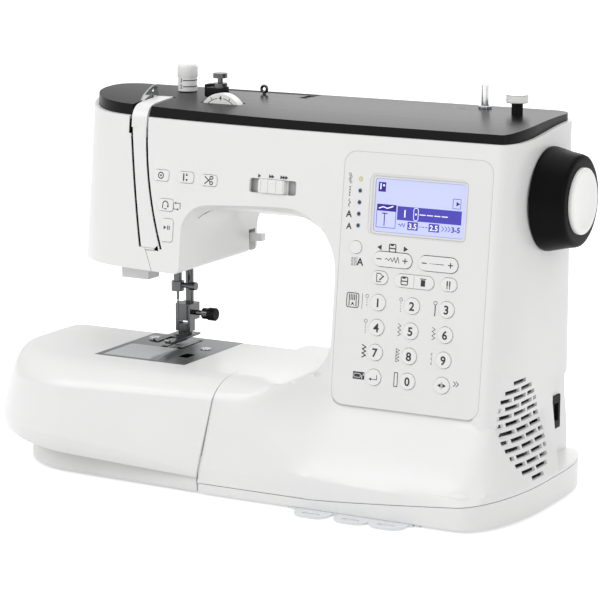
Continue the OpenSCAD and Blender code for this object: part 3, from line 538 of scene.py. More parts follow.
def soften(node: str, finish: Finish, width: float, sweep: Sweep | None = None) -> None:
    """Replaces a frame node by a merged copy with rounded edges.

    Args:
        node: The frame's node.
        finish: The copy's finish.
        width: Width of the rounding in mm; 0 leaves edges as they are.
        sweep: A stretch of its skin to blend.
    """
    shape = bmesh.new()
    shape.from_mesh(frame["nodes"][node].data)
    bmesh.ops.remove_doubles(shape, verts=shape.verts, dist=WELD)
    bmesh.ops.dissolve_limit(shape, angle_limit=FLAT, use_dissolve_boundaries=False,
                             verts=shape.verts, edges=shape.edges)
    if sweep is not None:
        sweep.apply(shape)
    if width > 0.0:
        edges = [e for e in shape.edges if e.is_manifold and e.calc_face_angle(0.0) > STEEP]
        round_edges(shape, edges, width * MM)
    piece = add_piece(shape, f"{node}_skin", finish, BODY_OF[node], SHARP)
    even = piece.modifiers.new("even_shading", "WEIGHTED_NORMAL")
    even.mode = "FACE_AREA"
    even.keep_sharp = True
    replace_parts(piece, node)


# ---------- printing


@dataclass
class Ink:
    """Flat printed marks laid just above a face."""

    name: str
    finish: Finish
    body: str = "machine"
    place: Placing = on_front
    height: float = 0.05
    weight: float = 1.0
    shape: Shape = field(default_factory=bmesh.new)
    count: int = 0

    def _settle(self, verts: Iterable[bmesh.types.BMVert]) -> None:
        """Moves new flat vertices from the drawing plane onto the face.

        Args:
            verts: The new vertices, drawn in mm with z at 0.
        """
        self.count += 1
        out = self.height + LAYER_STEP * (self.count % LAYERS)
        for vert in verts:
            vert.co = self.place(vert.co.x, vert.co.y, out)

    def line(self, points: Sequence[Point2], width: float = 0.4) -> "Ink":
        """Draws a line of even width with round ends.

        Args:
            points: The line's corners in mm.
            width: Its width in mm.

        Returns:
            This ink, so calls can be chained.
        """
        width *= self.weight
        for start, end in zip(points, points[1:]):
            a, b = Vector(start), Vector(end)
            turn = math.atan2(b.y - a.y, b.x - a.x)
            matrix = (Matrix.Translation(((a.x + b.x) / 2, (a.y + b.y) / 2, 0.0))
                      @ Matrix.Rotation(turn, 4, "Z")
                      @ Matrix.Diagonal(((b - a).length, width, 1.0, 1.0)))
            made = bmesh.ops.create_grid(self.shape, x_segments=1, y_segments=1, size=0.5,
                                         matrix=matrix)
            self._settle(made["verts"])
        if width > 0.45:
            for spot in points:
                self.disc(spot, width / 2, 10)
        return self

    def disc(self, centre: Point2, radius: float, sides: int = 16, turn: float = 0.0) -> "Ink":
        """Draws a filled disc, or a polygon when it has few sides.

        Args:
            centre: Its middle in mm.
            radius: Its radius in mm.
            sides: How many sides it has.
            turn: How far it is turned, in degrees.

        Returns:
            This ink.
        """
        matrix = Matrix.Translation((*centre, 0.0)) @ Matrix.Rotation(math.radians(turn), 4, "Z")
        made = bmesh.ops.create_circle(self.shape, cap_ends=True, segments=sides, radius=radius,
                                       matrix=matrix)
        self._settle(made["verts"])
        return self

    def arrow(self, centre: Point2, radius: float, heading: float) -> "Ink":
        """Draws a filled triangle that points along a heading in degrees, 0 to the right."""
        return self.disc(centre, radius, 3, heading - 90.0)

    def ring(self, centre: Point2, size: Point2, width: float = 0.35, corner: float = 50.0,
             start: float = 0.0, end: float = 360.0, steps: int = 28) -> "Ink":
        """Draws a rounded outline.

        Args:
            centre: Its middle in mm.
            size: Its width and height in mm.
            width: The line's width in mm.
            corner: Corner radius in mm; large values give an ellipse or pill.
            start: Angle in degrees where an open outline starts.
            end: Angle where it ends.
            steps: Steps round the outline.

        Returns:
            This ink.
        """
        half_w, half_h = size[0] / 2, size[1] / 2
        radius = min(corner, half_w, half_h)
        points = []
        for step in range(steps + 1):
            angle = math.radians(start + (end - start) * step / steps)
            cos_a, sin_a = math.cos(angle), math.sin(angle)
            shift_x = (half_w - radius) * (1 if cos_a > 1e-6 else -1 if cos_a < -1e-6 else 0)
            shift_y = (half_h - radius) * (1 if sin_a > 1e-6 else -1 if sin_a < -1e-6 else 0)
            points.append((centre[0] + shift_x + radius * cos_a,
                           centre[1] + shift_y + radius * sin_a))
        return self.line(points, width)

    def block(self, centre: Point2, size: Point2) -> "Ink":
        """Draws a filled rectangle.

        Args:
            centre: Its middle in mm.
            size: Its width and height in mm.

        Returns:
            This ink.
        """
        matrix = Matrix.Translation((*centre, 0.0)) @ Matrix.Diagonal((*size, 1.0, 1.0))
        steps = max(1, int(size[0] / 8))
        made = bmesh.ops.create_grid(self.shape, x_segments=steps, y_segments=1, size=0.5,
                                     matrix=matrix)
        self._settle(made["verts"])
        return self

    def word(self, text: str, centre: Point2, size: float) -> "Ink":
        """Sets a short number or letter.

        Args:
            text: The characters.
            centre: Their middle in mm.
            size: Letter height in mm.

        Returns:
            This ink.
        """
        curve = bpy.data.curves.new(f"{self.name}_{text}", "FONT")
        curve.body = text
        curve.size = size * FONT_RATIO
        curve.offset = size * FONT_BOLD
        curve.resolution_u = 3
        curve.align_x = "CENTER"
        holder = link_object(curve.name, curve)
        bpy.context.view_layer.update()
        mesh = bpy.data.meshes.new_from_object(
            holder.evaluated_get(bpy.context.evaluated_depsgraph_get()))
        bpy.data.objects.remove(holder)
        bpy.data.curves.remove(curve)
        part = bmesh.new()
        part.from_mesh(mesh)
        bpy.data.meshes.remove(mesh)
        for vert in part.verts:
            vert.co = Vector((vert.co.x + centre[0], vert.co.y + centre[1] - size / 2, 0.0))
        self._settle(part.verts)
        merge(self.shape, part)
        return self

    def done(self) -> Piece:
        """Finishes the marks as one piece."""
        return add_piece(self.shape, self.name, self.finish, self.body, 180.0)


def cap_sign(name: str, node: str, weight: float = 1.0) -> Ink:
    """Starts the sign on a key or button, which stands above the leaning front."""
    return Ink(f"{name}_print", INK_GREY, f"{node}_body", on_front, CAP_PROUD, weight)


# ---------- studio


@dataclass(frozen=True)
class Studio:
    """Plain pale floor, soft lamps and the camera. Places and sizes are in metres."""

    place: Point3 = (0.9322, -1.6604, 0.51606)
    azimuth: float = 28.77
    elevation: float = 11.341
    lens: float = 156.47
    ambient: float = 0.62
    backdrop: float = 1.0
    floor_half: float = 6.0
    floor_drop: float = 0.0002
    floor_glow: float = 0.54
    aim: Point3 = (0.0, 0.0, 0.12)
    lamps: tuple[tuple[str, Point3, float, float], ...] = (
        ("key", (-1.5, -1.9, 1.9), 1.6, 26.0), ("fill", (2.3, -1.3, 1.2), 1.5, 10.0),
        ("top", (0.2, 0.5, 2.4), 2.0, 17.0), ("rear", (-0.6, 2.2, 1.3), 1.5, 10.0),
    )

    def build(self) -> None:
        """Builds the camera, world, lamps and floor."""
        self._camera()
        self._world()
        self._lamps()
        self._floor()

    def _camera(self) -> None:
        """Aims the camera."""
        data = bpy.data.cameras.new("camera")
        data.lens = self.lens
        data.sensor_width = 36.0
        data.clip_end = 30.0
        camera = link_object("camera", data)
        camera.location = self.place
        camera.rotation_euler = (math.radians(90.0 - self.elevation), 0.0,
                                 math.radians(self.azimuth))
        bpy.context.scene.camera = camera

    def _world(self) -> None:
        """Lights the surroundings, brighter where the camera sees them."""
        world = bpy.data.worlds.new("surroundings")
        bpy.context.scene.world = world
        tree = bare_tree(world)
        path = add_node(tree, "LightPath")
        mix = add_node(tree, "MixShader", Fac=path.outputs["Is Camera Ray"])
        for slot, strength in ((1, self.ambient), (2, self.backdrop)):
            shade = add_node(tree, "Background", Color=(1.0, 1.0, 1.0, 1.0), Strength=strength)
            tree.links.new(shade.outputs[0], mix.inputs[slot])
        add_node(tree, "OutputWorld", Surface=mix.outputs[0])

    def _lamps(self) -> None:
        """Hangs the soft boxes, given by name, place, width and power."""
        for name, spot, size, power in self.lamps:
            data = bpy.data.lights.new(name, "AREA")
            data.size = size
            data.energy = power
            lamp = link_object(name, data)
            lamp.location = spot
            lamp.rotation_euler = (Vector(self.aim) - Vector(spot)).to_track_quat(
                "-Z", "Y").to_euler()

    def _floor(self) -> None:
        """Lays the floor, which shows white but keeps the shadow."""
        shape = bmesh.new()
        bmesh.ops.create_grid(shape, x_segments=1, y_segments=1, size=self.floor_half)
        mesh = to_mesh(shape, "floor")
        floor = link_object("floor", mesh)
        floor.location.z = -self.floor_drop
        mat = bpy.data.materials.new("floor")
        tree = bare_tree(mat)
        path = add_node(tree, "LightPath")
        either = add_node(tree, "Math")
        either.operation = "MAXIMUM"
        for slot, ray in enumerate(("Is Camera Ray", "Is Glossy Ray")):
            tree.links.new(path.outputs[ray], either.inputs[slot])
        scale = add_node(tree, "Math", Value=either.outputs[0])
        scale.operation = "MULTIPLY"
        scale.inputs[1].default_value = self.floor_glow
        shades = (add_node(tree, "BsdfDiffuse", Color=(0.8, 0.8, 0.8, 1.0)),
                  add_node(tree, "Emission", Strength=scale.outputs[0]))
        add = add_node(tree, "AddShader")
        for slot, shade in enumerate(shades):
            tree.links.new(shade.outputs[0], add.inputs[slot])
        add_node(tree, "OutputMaterial", Surface=add.outputs[0])
        mesh.materials.append(mat)


# ---------- frame pieces


@dataclass(frozen=True)
class FramePieces:
    """Covers, drive and sewing parts, which keep the frame's shape.

    Each is given by its node, its finish and the rounding of its edges in mm. Plain ones keep
    the frame's own mesh.
    """

    plain: tuple[tuple[str, Finish], ...] = (("rubber_feet", RUBBER), ("frame_casting", CAST))
    swept: str = "front_cover"
    flare: Sweep = Sweep((-22.0, -95.0, 17.0), (204.0, -25.0, 101.0))
    soft: tuple[tuple[str, Finish, float], ...] = (
        ("front_cover", WHITE, 0.5), ("rear_cover", WHITE, 0.5), ("face_cover", WHITE, 0.5),
        ("thread_strip", WHITE, 0.5), ("accessory_box", WHITE, 0.5), ("base_tray", WHITE, 0.5),
        ("free_arm", WHITE, 0.5), ("top_cover", GLOSS, 0.5), ("face_cap", GLOSS, 0.5),
        ("control_panel", PANEL, 0.25), ("stitch_charts", FROST, 0.2),
        ("needle_plate", PLATE, 0.2), ("drive_motor", CAST, 0.5), ("main_shaft", SHAFT, 0.0),
        ("needle_bar", BAR, 0.3), ("needle", BAR, 0.0), ("take_up_lever", CHROME, 0.2),
        ("presser_bar", BAR, 0.3), ("presser_foot", BAR, 0.15),
        ("presser_lifter", WHITE, 0.8), ("threader_lever", WHITE, 0.8),
        ("feed_dog", BAR, 0.0), ("rotary_hook", SHAFT, 0.2), ("bobbin", CLEAR, 0.2),
        ("bobbin_cover", CLEAR, 0.2), ("pressure_dial", DIAL, 0.4),
        ("tension_dial", DIAL, 0.4), ("winder_spindle", CHROME, 0.2),
        ("thread_guides", BAR, 0.2), ("cover_screws", CHROME, 0.1),
        ("power_inlet", MATTE, 0.3), ("carry_handle", MATTE, 0.6),
        ("display_module", LCD, 0.0), ("speed_knob", KEYCAP, 0.5),
    )

    def build(self) -> None:
        """Dresses the plain pieces and replaces the soft ones."""
        for node, finish in self.plain:
            materials = frame["nodes"][node].data.materials
            materials.clear()
            materials.append(finish.material())
        for node, finish, width in self.soft:
            soften(node, finish, width, self.flare if node == self.swept else None)


# ---------- handwheel


@dataclass(frozen=True)
class Handwheel:
    """Black drum with a white end cap."""

    y: float = 39.0
    z: float = 220.8
    bore: float = 4.0
    flange_r: float = 37.6
    grip_r: float = 32.8
    cap_r: float = 24.0
    inner: float = 202.3
    outer: float = 227.3
    steps: int = 128

    def _axis(self) -> Matrix:
        """Placing of the wheel's axis in mm, z towards the right."""
        return Matrix.Translation((0.0, self.y, self.z)) @ Matrix.Rotation(math.pi / 2, 4, "Y")

    def build(self) -> None:
        """Builds the drum and the cap."""
        inner, outer, grip, cap_r = self.inner, self.outer, self.grip_r, self.cap_r
        drum = turned((
            (self.bore, inner), (self.flange_r - 0.8, inner), (self.flange_r - 0.2, inner + 0.3),
            (self.flange_r, inner + 1.0), (self.flange_r - 0.1, inner + 2.9),
            (grip + 3.6, inner + 7.7), (grip + 1.9, inner + 14.7), (grip + 0.7, outer - 3.2),
            (grip, outer - 1.2), (grip - 1.4, outer - 0.3), (grip - 3.2, outer),
            (cap_r + 0.5, outer), (cap_r + 0.2, outer - 0.8), (self.bore, outer - 0.8)),
            self._axis(), self.steps)
        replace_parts(add_piece(drum, "handwheel_drum", BLACK, "drive", 50.0), "handwheel")
        cap = turned((
            (0.0, outer - 1.2), (cap_r, outer - 1.2), (cap_r, outer + 1.4),
            (cap_r - 0.3, outer + 2.2), (cap_r - 1.1, outer + 2.65), (cap_r - 3.6, outer + 2.65),
            (cap_r - 6.0, outer + 2.1), (cap_r - 9.0, outer + 1.55), (0.0, outer + 1.5)),
            self._axis(), self.steps)
        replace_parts(add_piece(cap, "handwheel_cap", DIAL, "drive", 50.0), "handwheel")


# ---------- fittings on top


@dataclass(frozen=True)
class TopFittings:
    """Guide block, winder's stop, dial marks and winding sign on the black cover."""

    guide: Point2 = (-74.5, 42.5)
    guide_z: float = 277.1
    stop: Point2 = (167.0, 59.5)
    stem_z: Point2 = (276.0, 285.4)
    stem_r: float = 4.15
    disc_z: Point2 = (285.3, 291.15)
    disc_r: float = 8.15
    dial: Point2 = (-113.0, 62.5)
    dial_r: float = 7.5
    dial_ribs: int = 36
    rib_z: Point2 = (288.6, 296.6)
    tension: Point3 = (-59.0, 20.5, 264.0)
    tension_r: float = 15.4

    def build(self) -> None:
        """Builds the fittings."""
        self._guide()
        self._stop()
        self._dial_marks()
        self._tension_marks()
        self._winding_sign()

    def _guide(self) -> None:
        """Black plastic body round the upper thread guide."""
        x, y = self.guide
        z = self.guide_z
        shape = bmesh.new()
        add_block(shape, (x - 6.8, y - 5.3, z), (x + 6.8, y + 6.3, z + 7.7), 0.7)
        add_block(shape, (x - 9.6, y - 3.4, z), (x - 6.6, y + 5.6, z + 9.7), 0.7)
        add_piece(shape, "guide_block", MATTE)

    def _stop(self) -> None:
        """Black stem and white disc of the winder's stop."""
        axis = Matrix.Translation((*self.stop, 0.0))
        low, high = self.stem_z
        stem = ((0.0, low), (self.stem_r, low), (self.stem_r, high), (0.0, high))
        add_piece(turned(stem, axis, 32), "stop_stem", MATTE)
        low, high = self.disc_z
        disc = ((0.0, low), (self.disc_r - 0.55, low), (self.disc_r, low + 0.6),
                (self.disc_r, high - 0.65), (self.disc_r - 0.65, high), (0.0, high))
        add_piece(turned(disc, axis, 48), "stop_disc", DIAL)

    def _dial_marks(self) -> None:
        """Ribs and printed rings of the presser pressure dial."""
        x, y = self.dial
        low, high = self.rib_z
        ribs = bmesh.new()
        for index in range(self.dial_ribs):
            matrix = (Matrix.Translation((x, y, 0.0))
                      @ Matrix.Rotation(math.tau * index / self.dial_ribs, 4, "Z"))
            add_block(ribs, (self.dial_r - 0.3, -0.32, low), (self.dial_r + 0.35, 0.32, high),
                      0.15, matrix)
        add_piece(ribs, "pressure_dial_ribs", DIAL, "pressure_dial_body")
        ink = Ink("pressure_dial_print", INK, "pressure_dial_body",
                  round_post(x, y, self.dial_r), 0.05)
        levels = ((286.4, "3"), (281.6, "2"))
        for level, _ in levels:
            ink.line([(0.6 + 1.25 * step, level) for step in range(13)], 0.75)
        for level, digit in levels:
            ink.word(digit, (-1.3, level), 3.0)
        ink.done()

    def _winding_sign(self) -> None:
        """Pale winding sign on the black cover, left of the winder."""
        ink = Ink("winding_print", INK_PALE, place=on_crown, height=0.06)
        ink.ring((117.6, 68.6), (9.0, 7.6), 0.7).ring((117.6, 68.6), (4.6, 3.6), 0.6)
        ink.line([(108.4, 70.6), (112.8, 70.6)], 0.7).line([(123.0, 66.4), (128.4, 66.4)], 0.7)
        ink.arrow((129.4, 66.4), 1.3, 0.0).done()

    def _tension_marks(self) -> None:
        """Scale printed on the tension dial's face."""
        x, y, z = self.tension
        ink = Ink("tension_dial_print", INK, "tension_dial_body", upright_at(y), 0.05)

        def rim(angle: int, reach: float) -> Point2:
            """Finds a point of the scale from its angle in degrees and its reach in mm."""
            turn = math.radians(angle)
            return (x + reach * math.cos(turn), z + reach * math.sin(turn))

        for start, end in ((28, 80), (100, 152)):
            ink.line([rim(angle, self.tension_r) for angle in range(start, end + 1, 4)], 0.5)
        for angle in (34, 62, 118, 146):
            ink.line([rim(angle, self.tension_r), rim(angle, self.tension_r + 2.2)], 0.5)
        ink.word("4", (x, z + self.tension_r + 0.2), 3.4)
        ink.done()


# ---------- head


@dataclass(frozen=True)
class HeadDetails:
    """Painted shade in the thread slots and the plate's latch hole, the slider's bed in painted
    recess shade, its ribs, thumb screw and printed marks on the head.

    Places on the front are x along the machine and the distance up the leaning face, in mm. A
    slot is given by its x at the top, its slant and its curl.
    """

    slots: tuple[Point3, ...] = ((-122.8, 0.11, 0.0005), (-107.0, 0.0, 0.0021))
    slot_top: float = 264.0
    shade_sheet_v: range = range(168, 252, 12)
    shade_sheet_depth: float = 1.3
    slider: Point2 = (9.75, 225.0)
    knob_x: float = 9.4
    bold: float = 1.35
    presser_axis: Point3 = (-97.4, 33.0, 110.0)
    plate_z: float = 86.0

    def build(self) -> None:
        """Builds the head's details."""
        self._slots()
        self._slider()
        self._marks()
        self._buttons()
        self._thumb_screw()
        self._latch()

    def _slots(self) -> None:
        """Black sheets of painted shade behind the two thread slots and at the second slot's
        lower turn, and the seam below the thread strip.
        """
        # Black boxes of painted shade set just behind the face in each thread slot, and one at the
        # first slot's top.
        shape = bmesh.new()
        pitch = self.shade_sheet_v.step
        for lower in self.shade_sheet_v:
            for top_x, slant, curl in self.slots:
                low, high = (top_x + slant * drop + curl * drop ** 2
                             for drop in (self.slot_top - lower, self.slot_top - lower - pitch))
                middle_v = lower + pitch / 2 + 1.4
                matrix = (face_frame((low + high) / 2, middle_v, self.shade_sheet_depth)
                          @ Matrix.Rotation(math.atan2(high - low, pitch), 4, "Y"))
                add_block(shape, (-1.0, -0.4, -6.1), (1.0, 0.4, 6.1), 0.0, matrix)
        add_block(shape, (-2.4, -0.5, -6.8), (2.2, 0.5, 5.8), 0.0,
                  face_frame(-121.9, 260.8, self.shade_sheet_depth + 0.3))
        add_piece(shape, "painted_opening_shades", SHADE_BLACK)
        # Painted shade: a black triangle and line on the face at the lower turn of the second slot.
        corner = Ink("slot_corner_shade", SHADE_BLACK, height=0.03)
        corner.arrow((-91.6, 170.6), 2.7, 75.0)
        corner.line([(-92.0, 169.4), (-102.0, 168.9)], 0.4).done()
        seam = Ink("head_seam", INK_GREY, height=0.03)
        seam.line([(-102.9, 170.4), (-99.0, 161.8), (-95.6, 153.6)], 0.3).done()

    def _slider(self) -> None:
        """Grey bed behind the speed slider, white plastic painted grey as the recess's shade, and
        ribs on its knob.
        """
        x, v = self.slider
        turn = -math.atan(2 * BOW_DEPTH * (BOW_X - x) / BOW_LEN ** 2)
        face = face_frame(x, v) @ Matrix.Rotation(turn, 4, "Z")
        bed = bmesh.new()
        add_block(bed, (-24.5, 4.9, -7.2), (24.5, 5.6, 7.2), 0.0, face)
        add_piece(bed, "painted_recess_shade", RECESS_SHADE)
        ribs = bmesh.new()
        for step in (-9.4, -3.4, 3.4, 9.4):
            middle = step + self.knob_x - x
            add_block(ribs, (middle - 0.9, -2.9, -4.6), (middle + 0.9, -1.6, 4.6), 0.4, face)
        add_piece(ribs, "speed_knob_ribs", KEYCAP, "speed_knob_body")

    def _marks(self) -> None:
        """Speed arrows above the slider and the turning sign right of the lock button."""
        ink = Ink("speed_marks", INK_GREY)
        for count, (x, v) in enumerate(((-2.2, 232.2), (8.3, 232.3), (19.0, 232.3)), 1):
            for index in range(count):
                ink.arrow((x + (index - (count - 1) / 2) * 2.1, v), 1.7, 0.0)
        ink.line([(-71.5, 202.2), (-71.5, 206.4), (-75.2, 206.4)], 0.5)
        ink.arrow((-75.9, 206.4), 1.1, 180.0)
        ink.line([(-77.6, 206.0), (-77.6, 201.8), (-74.2, 201.8)], 0.5)
        ink.arrow((-73.6, 201.8), 1.1, 0.0).done()

    def _buttons(self) -> None:
        """Signs on the head's five buttons, each drawn round its button's middle."""
        x, v = -90.4, 226.1
        ink = cap_sign("needle_stop", "needle_stop_button", self.bold)
        ink.ring((x, v), (4.6, 4.6), 0.6).disc((x, v), 0.8).done()
        x, v = -69.0, 226.2
        ink = cap_sign("needle_up", "needle_up_button", self.bold).block((x, v), (1.2, 5.6))
        ink.arrow((x + 2.8, v + 2.0), 1.3, 90.0).arrow((x + 2.8, v - 1.8), 1.3, -90.0).done()
        x, v = -47.0, 226.2
        ink = cap_sign("thread_cut", "thread_cut_button", self.bold)
        ink.line([(x - 2.4, v + 2.0), (x + 2.4, v - 1.8)], 0.6)
        ink.line([(x - 2.4, v - 3.2), (x + 2.4, v + 0.6)], 0.6)
        ink.ring((x + 3.4, v + 1.4), (2.6, 2.2), 0.55).ring((x + 3.4, v - 2.5), (2.6, 2.2), 0.55)
        ink.done()
        x, v = -84.7, 204.6
        ink = cap_sign("lock", "lock_button", self.bold)
        ink.ring((x, v), (5.0, 5.0), 0.6, start=0.0, end=180.0)
        ink.line([(x - 2.5, v - 0.2), (x - 2.5, v - 2.8)], 0.6)
        ink.arrow((x + 2.4, v - 1.2), 1.3, -90.0)
        ink.line([(x - 0.9, v - 3.2), (x + 1.1, v - 3.2)], 0.5).done()
        x, v = -82.0, 187.4
        ink = cap_sign("start", "start_button", self.bold).arrow((x - 2.4, v), 1.7, 0.0)
        ink.block((x + 0.6, v), (0.8, 3.2)).block((x + 2.1, v), (0.8, 3.2)).done()

    def _thumb_screw(self) -> None:
        """Black thumb screw on the presser bar."""
        axis = Matrix.Translation(self.presser_axis) @ Matrix.Rotation(math.pi / 2, 4, "Y")
        screw = ((0.0, 19.8), (4.5, 19.8), (5.0, 20.3), (5.0, 25.8), (4.5, 26.3), (0.0, 26.3))
        add_piece(turned(screw, axis, 40), "foot_thumb_screw", MATTE, "presser_bar_body")

    def _latch(self) -> None:
        """Black block of painted shade on the needle plate, for the latch hole beside the bobbin
        cover.
        """
        latch = Ink("latch_hole_shade", SHADE_BLACK, place=level_at(self.plate_z), height=0.04)
        latch.block((-71.6, -10.4), (8.2, 12.6)).done()


# ---------- panel


@dataclass(frozen=True)
class Panel:
    """Keys, key signs, display art, lamps and printed signs of the control panel.

    Places are x along the machine and the distance up the leaning front, in mm.
    """

    panel: Point2 = (127.15, 164.3)
    panel_size: Point2 = (117.2, 182.9)
    key_first: Point2 = (102.2, 149.0)
    key_step: Point2 = (27.1, 17.95)
    rocker_v: float = 180.4
    lcd: Point2 = (129.65, 218.6)
    lcd_size: Point2 = (74.6, 41.4)
    lcd_height: float = -1.36
    lcd_layer: float = 0.03
    lamp: Point2 = (82.3, 236.0)
    lamp_step: float = 8.33
    lamp_half: Point3 = (1.35, 0.55, 1.35)
    signs: tuple[str, ...] = ("1", "2", "3", "4", "5", "6", "7", "8", "9", "enter", "0", "mirror")

    def build(self) -> None:
        """Builds the panel's parts in order."""
        for node in frame["nodes"]:
            if node.startswith("key_") or node.endswith(("_key", "_button", "_rocker")):
                soften(node, KEYCAP, 0.4)
        self._key_signs()
        self._rocker_signs()
        self._oval_signs()
        self._panel_print()
        self._lamp_signs()
        self._stitch_signs()
        self._lamps()
        self._display()

    def _key_at(self, index: int) -> Point2:
        """Middle of a round key, counted row by row from the top left."""
        return (self.key_first[0] + (index % 3) * self.key_step[0],
                self.key_first[1] - (index // 3) * self.key_step[1])

    def _key_signs(self) -> None:
        """Numbers and signs on the round keys."""
        for index, sign in enumerate(self.signs):
            x, v = self._key_at(index)
            ink = cap_sign(f"key_{sign}", f"key_{sign}")
            if sign == "enter":
                ink.line([(x + 2.9, v + 1.8), (x + 2.9, v - 1.4), (x - 2.0, v - 1.4)], 0.5)
                ink.arrow((x - 2.2, v - 1.4), 1.3, 180.0)
            elif sign == "mirror":
                ink.arrow((x - 1.5, v), 1.8, 180.0).arrow((x + 1.7, v), 1.8, 0.0)
                ink.line([(x + 0.1, v - 2.8), (x + 0.1, v + 2.8)], 0.3)
            else:
                ink.word(sign, (x, v), 6.2)
            ink.done()

    def _minus_plus(self, name: str, middle: float) -> Ink:
        """Draws the minus and the plus at a rocker's ends.

        Args:
            name: The rocker's name.
            middle: Its middle along the machine in mm.

        Returns:
            The ink of its sign.
        """
        minus, plus = middle - 10.3, middle + 10.3
        ink = cap_sign(name, f"{name}_rocker")
        ink.block((minus, self.rocker_v), (4.0, 0.7)).block((plus, self.rocker_v), (4.0, 0.7))
        return ink.block((plus, self.rocker_v), (0.7, 4.0))

    def _rocker_signs(self) -> None:
        """A growing zigzag on the width rocker and growing stitches on the length rocker."""
        v = self.rocker_v
        zigzag = ((105.6, 0.0), (107.2, 0.8), (108.8, -0.7), (110.4, 1.4), (111.8, -1.4),
                  (113.2, 2.0), (114.6, -2.0), (116.0, 2.4), (117.2, -2.0))
        self._minus_plus("width", 111.5).line([(x, v + rise) for x, rise in zigzag], 0.45).done()
        ink = self._minus_plus("length", 147.3)
        start = 141.2
        for index, length in enumerate((0.8, 1.1, 1.5, 2.1, 2.8)):
            ink.line([(start, v), (start + length, v)], 0.4 + 0.02 * index)
            start += length + 0.7
        ink.done()

    def _oval_signs(self) -> None:
        """Signs on the save and erase key, the edit key and the twin needle key."""
        ink = cap_sign("save_erase", "save_erase_key")
        self._disk(ink, (122.3, 166.4))
        ink.block((137.0, 166.0), (3.4, 4.6)).block((137.0, 169.0), (4.8, 0.6))
        ink.line([(129.8, 162.4), (129.8, 170.4)], 0.15).done()
        ink = cap_sign("edit", "edit_key")
        ink.line([(103.6, 164.0), (100.2, 164.0), (100.2, 170.0), (103.0, 170.0), (104.6, 168.4)],
                 0.55)
        ink.line([(102.6, 165.4), (105.6, 168.2)], 0.9).done()
        ink = cap_sign("twin_needle", "twin_needle_key")
        for x in (155.9, 157.9):
            ink.block((x, 167.6), (1.0, 3.4)).block((x, 164.8), (0.6, 2.4))
        ink.done()

    def _disk(self, ink: Ink, centre: Point2) -> None:
        """Draws a small store sign.

        Args:
            ink: The ink it is drawn with.
            centre: Its middle in mm.
        """
        x, v = centre
        ink.ring((x, v), (5.2, 5.6), 0.7, 1.0)
        ink.block((x, v - 0.2), (4.6, 0.8)).block((x - 0.4, v + 2.0), (2.4, 0.9))

    def _panel_print(self) -> None:
        """Grey lines of painted shade for the grooves round the panel and the display, and the
        signs beside the keys.
        """
        # Painted shade: grey lines for the groove round the panel and round the display's bezel.
        edge = Ink("panel_groove_shade", RECESS_SHADE, height=0.04)
        edge.ring(self.panel, self.panel_size, 0.3, 9.5, steps=96)
        edge.ring(self.lcd, self.lcd_size, 0.4, 2.4, steps=64).done()
        ink = Ink("panel_print", INK_GREY)
        ink.arrow((101.0, 188.6), 2.3, 180.0).arrow((120.9, 188.8), 2.3, 0.0)
        self._disk(ink, (110.9, 188.7))
        for x in (79.3, 81.4):
            for row in range(3):
                ink.ring((x, 178.8 - 2.1 * row), (1.3, 1.5), 0.3, steps=8)
        ink.line([(83.0, 173.9), (83.0, 180.6)], 0.25).word("A", (85.6, 177.0), 5.4)
        x, v = 81.6, 148.9
        ink.ring((x, v), (9.6, 10.4), 0.6, 1.6)
        for step in (-2.8, -1.4, 0.0, 1.4, 2.8):
            ink.block((x + step, v + 2.1), (0.7, 4.4))
        for step in (-2.8, 2.8):
            ink.block((x + step, v - 2.3), (0.7, 4.0))
        ink.disc((x, v - 2.3), 0.8)
        ink.line([(x - 1.2, v - 3.7), (x, v - 2.3), (x + 1.2, v - 3.7)], 0.5)
        ink.line([(89.3, 143.4), (89.3, 154.4)], 0.3)
        ink.block((90.0, 95.2), (9.2, 5.4))
        ink.ring((119.8, 95.4), (2.6, 10.0), 0.55, 0.3)
        for x in (165.2, 167.4):
            ink.line([(x, 98.9), (x + 1.7, 97.2), (x, 95.5)], 0.5)
        ink.done()
        light = Ink("panel_print_light", PANEL, height=0.09)
        light.ring((88.8, 95.2), (5.2, 2.8), 0.4, 0.4)
        light.block((92.6, 94.4), (0.6, 2.6)).block((93.8, 96.2), (0.6, 1.6)).done()

    def _lamp_signs(self) -> None:
        """Stitch signs and letters left of the lamps."""
        ink = Ink("lamp_print", INK_GREY)
        for row in range(4):
            ink.ring((73.6 + 0.8 * (row % 2), 239.0 - 1.9 * row), (1.7, 1.7), 0.35, steps=8)
        for row in range(4):
            ink.disc((74.0, 229.8 - 2.0 * row), 0.55, 8)
        ink.line([(74.0, 223.4), (74.0, 230.4)], 0.25)
        ink.line([(74.0, 221.4), (73.6, 219.8), (75.2, 218.6), (73.4, 217.2), (74.4, 215.4)], 0.45)
        ink.word("A", (74.4, 210.6), 4.8).word("A", (75.0, 201.9), 4.4).done()

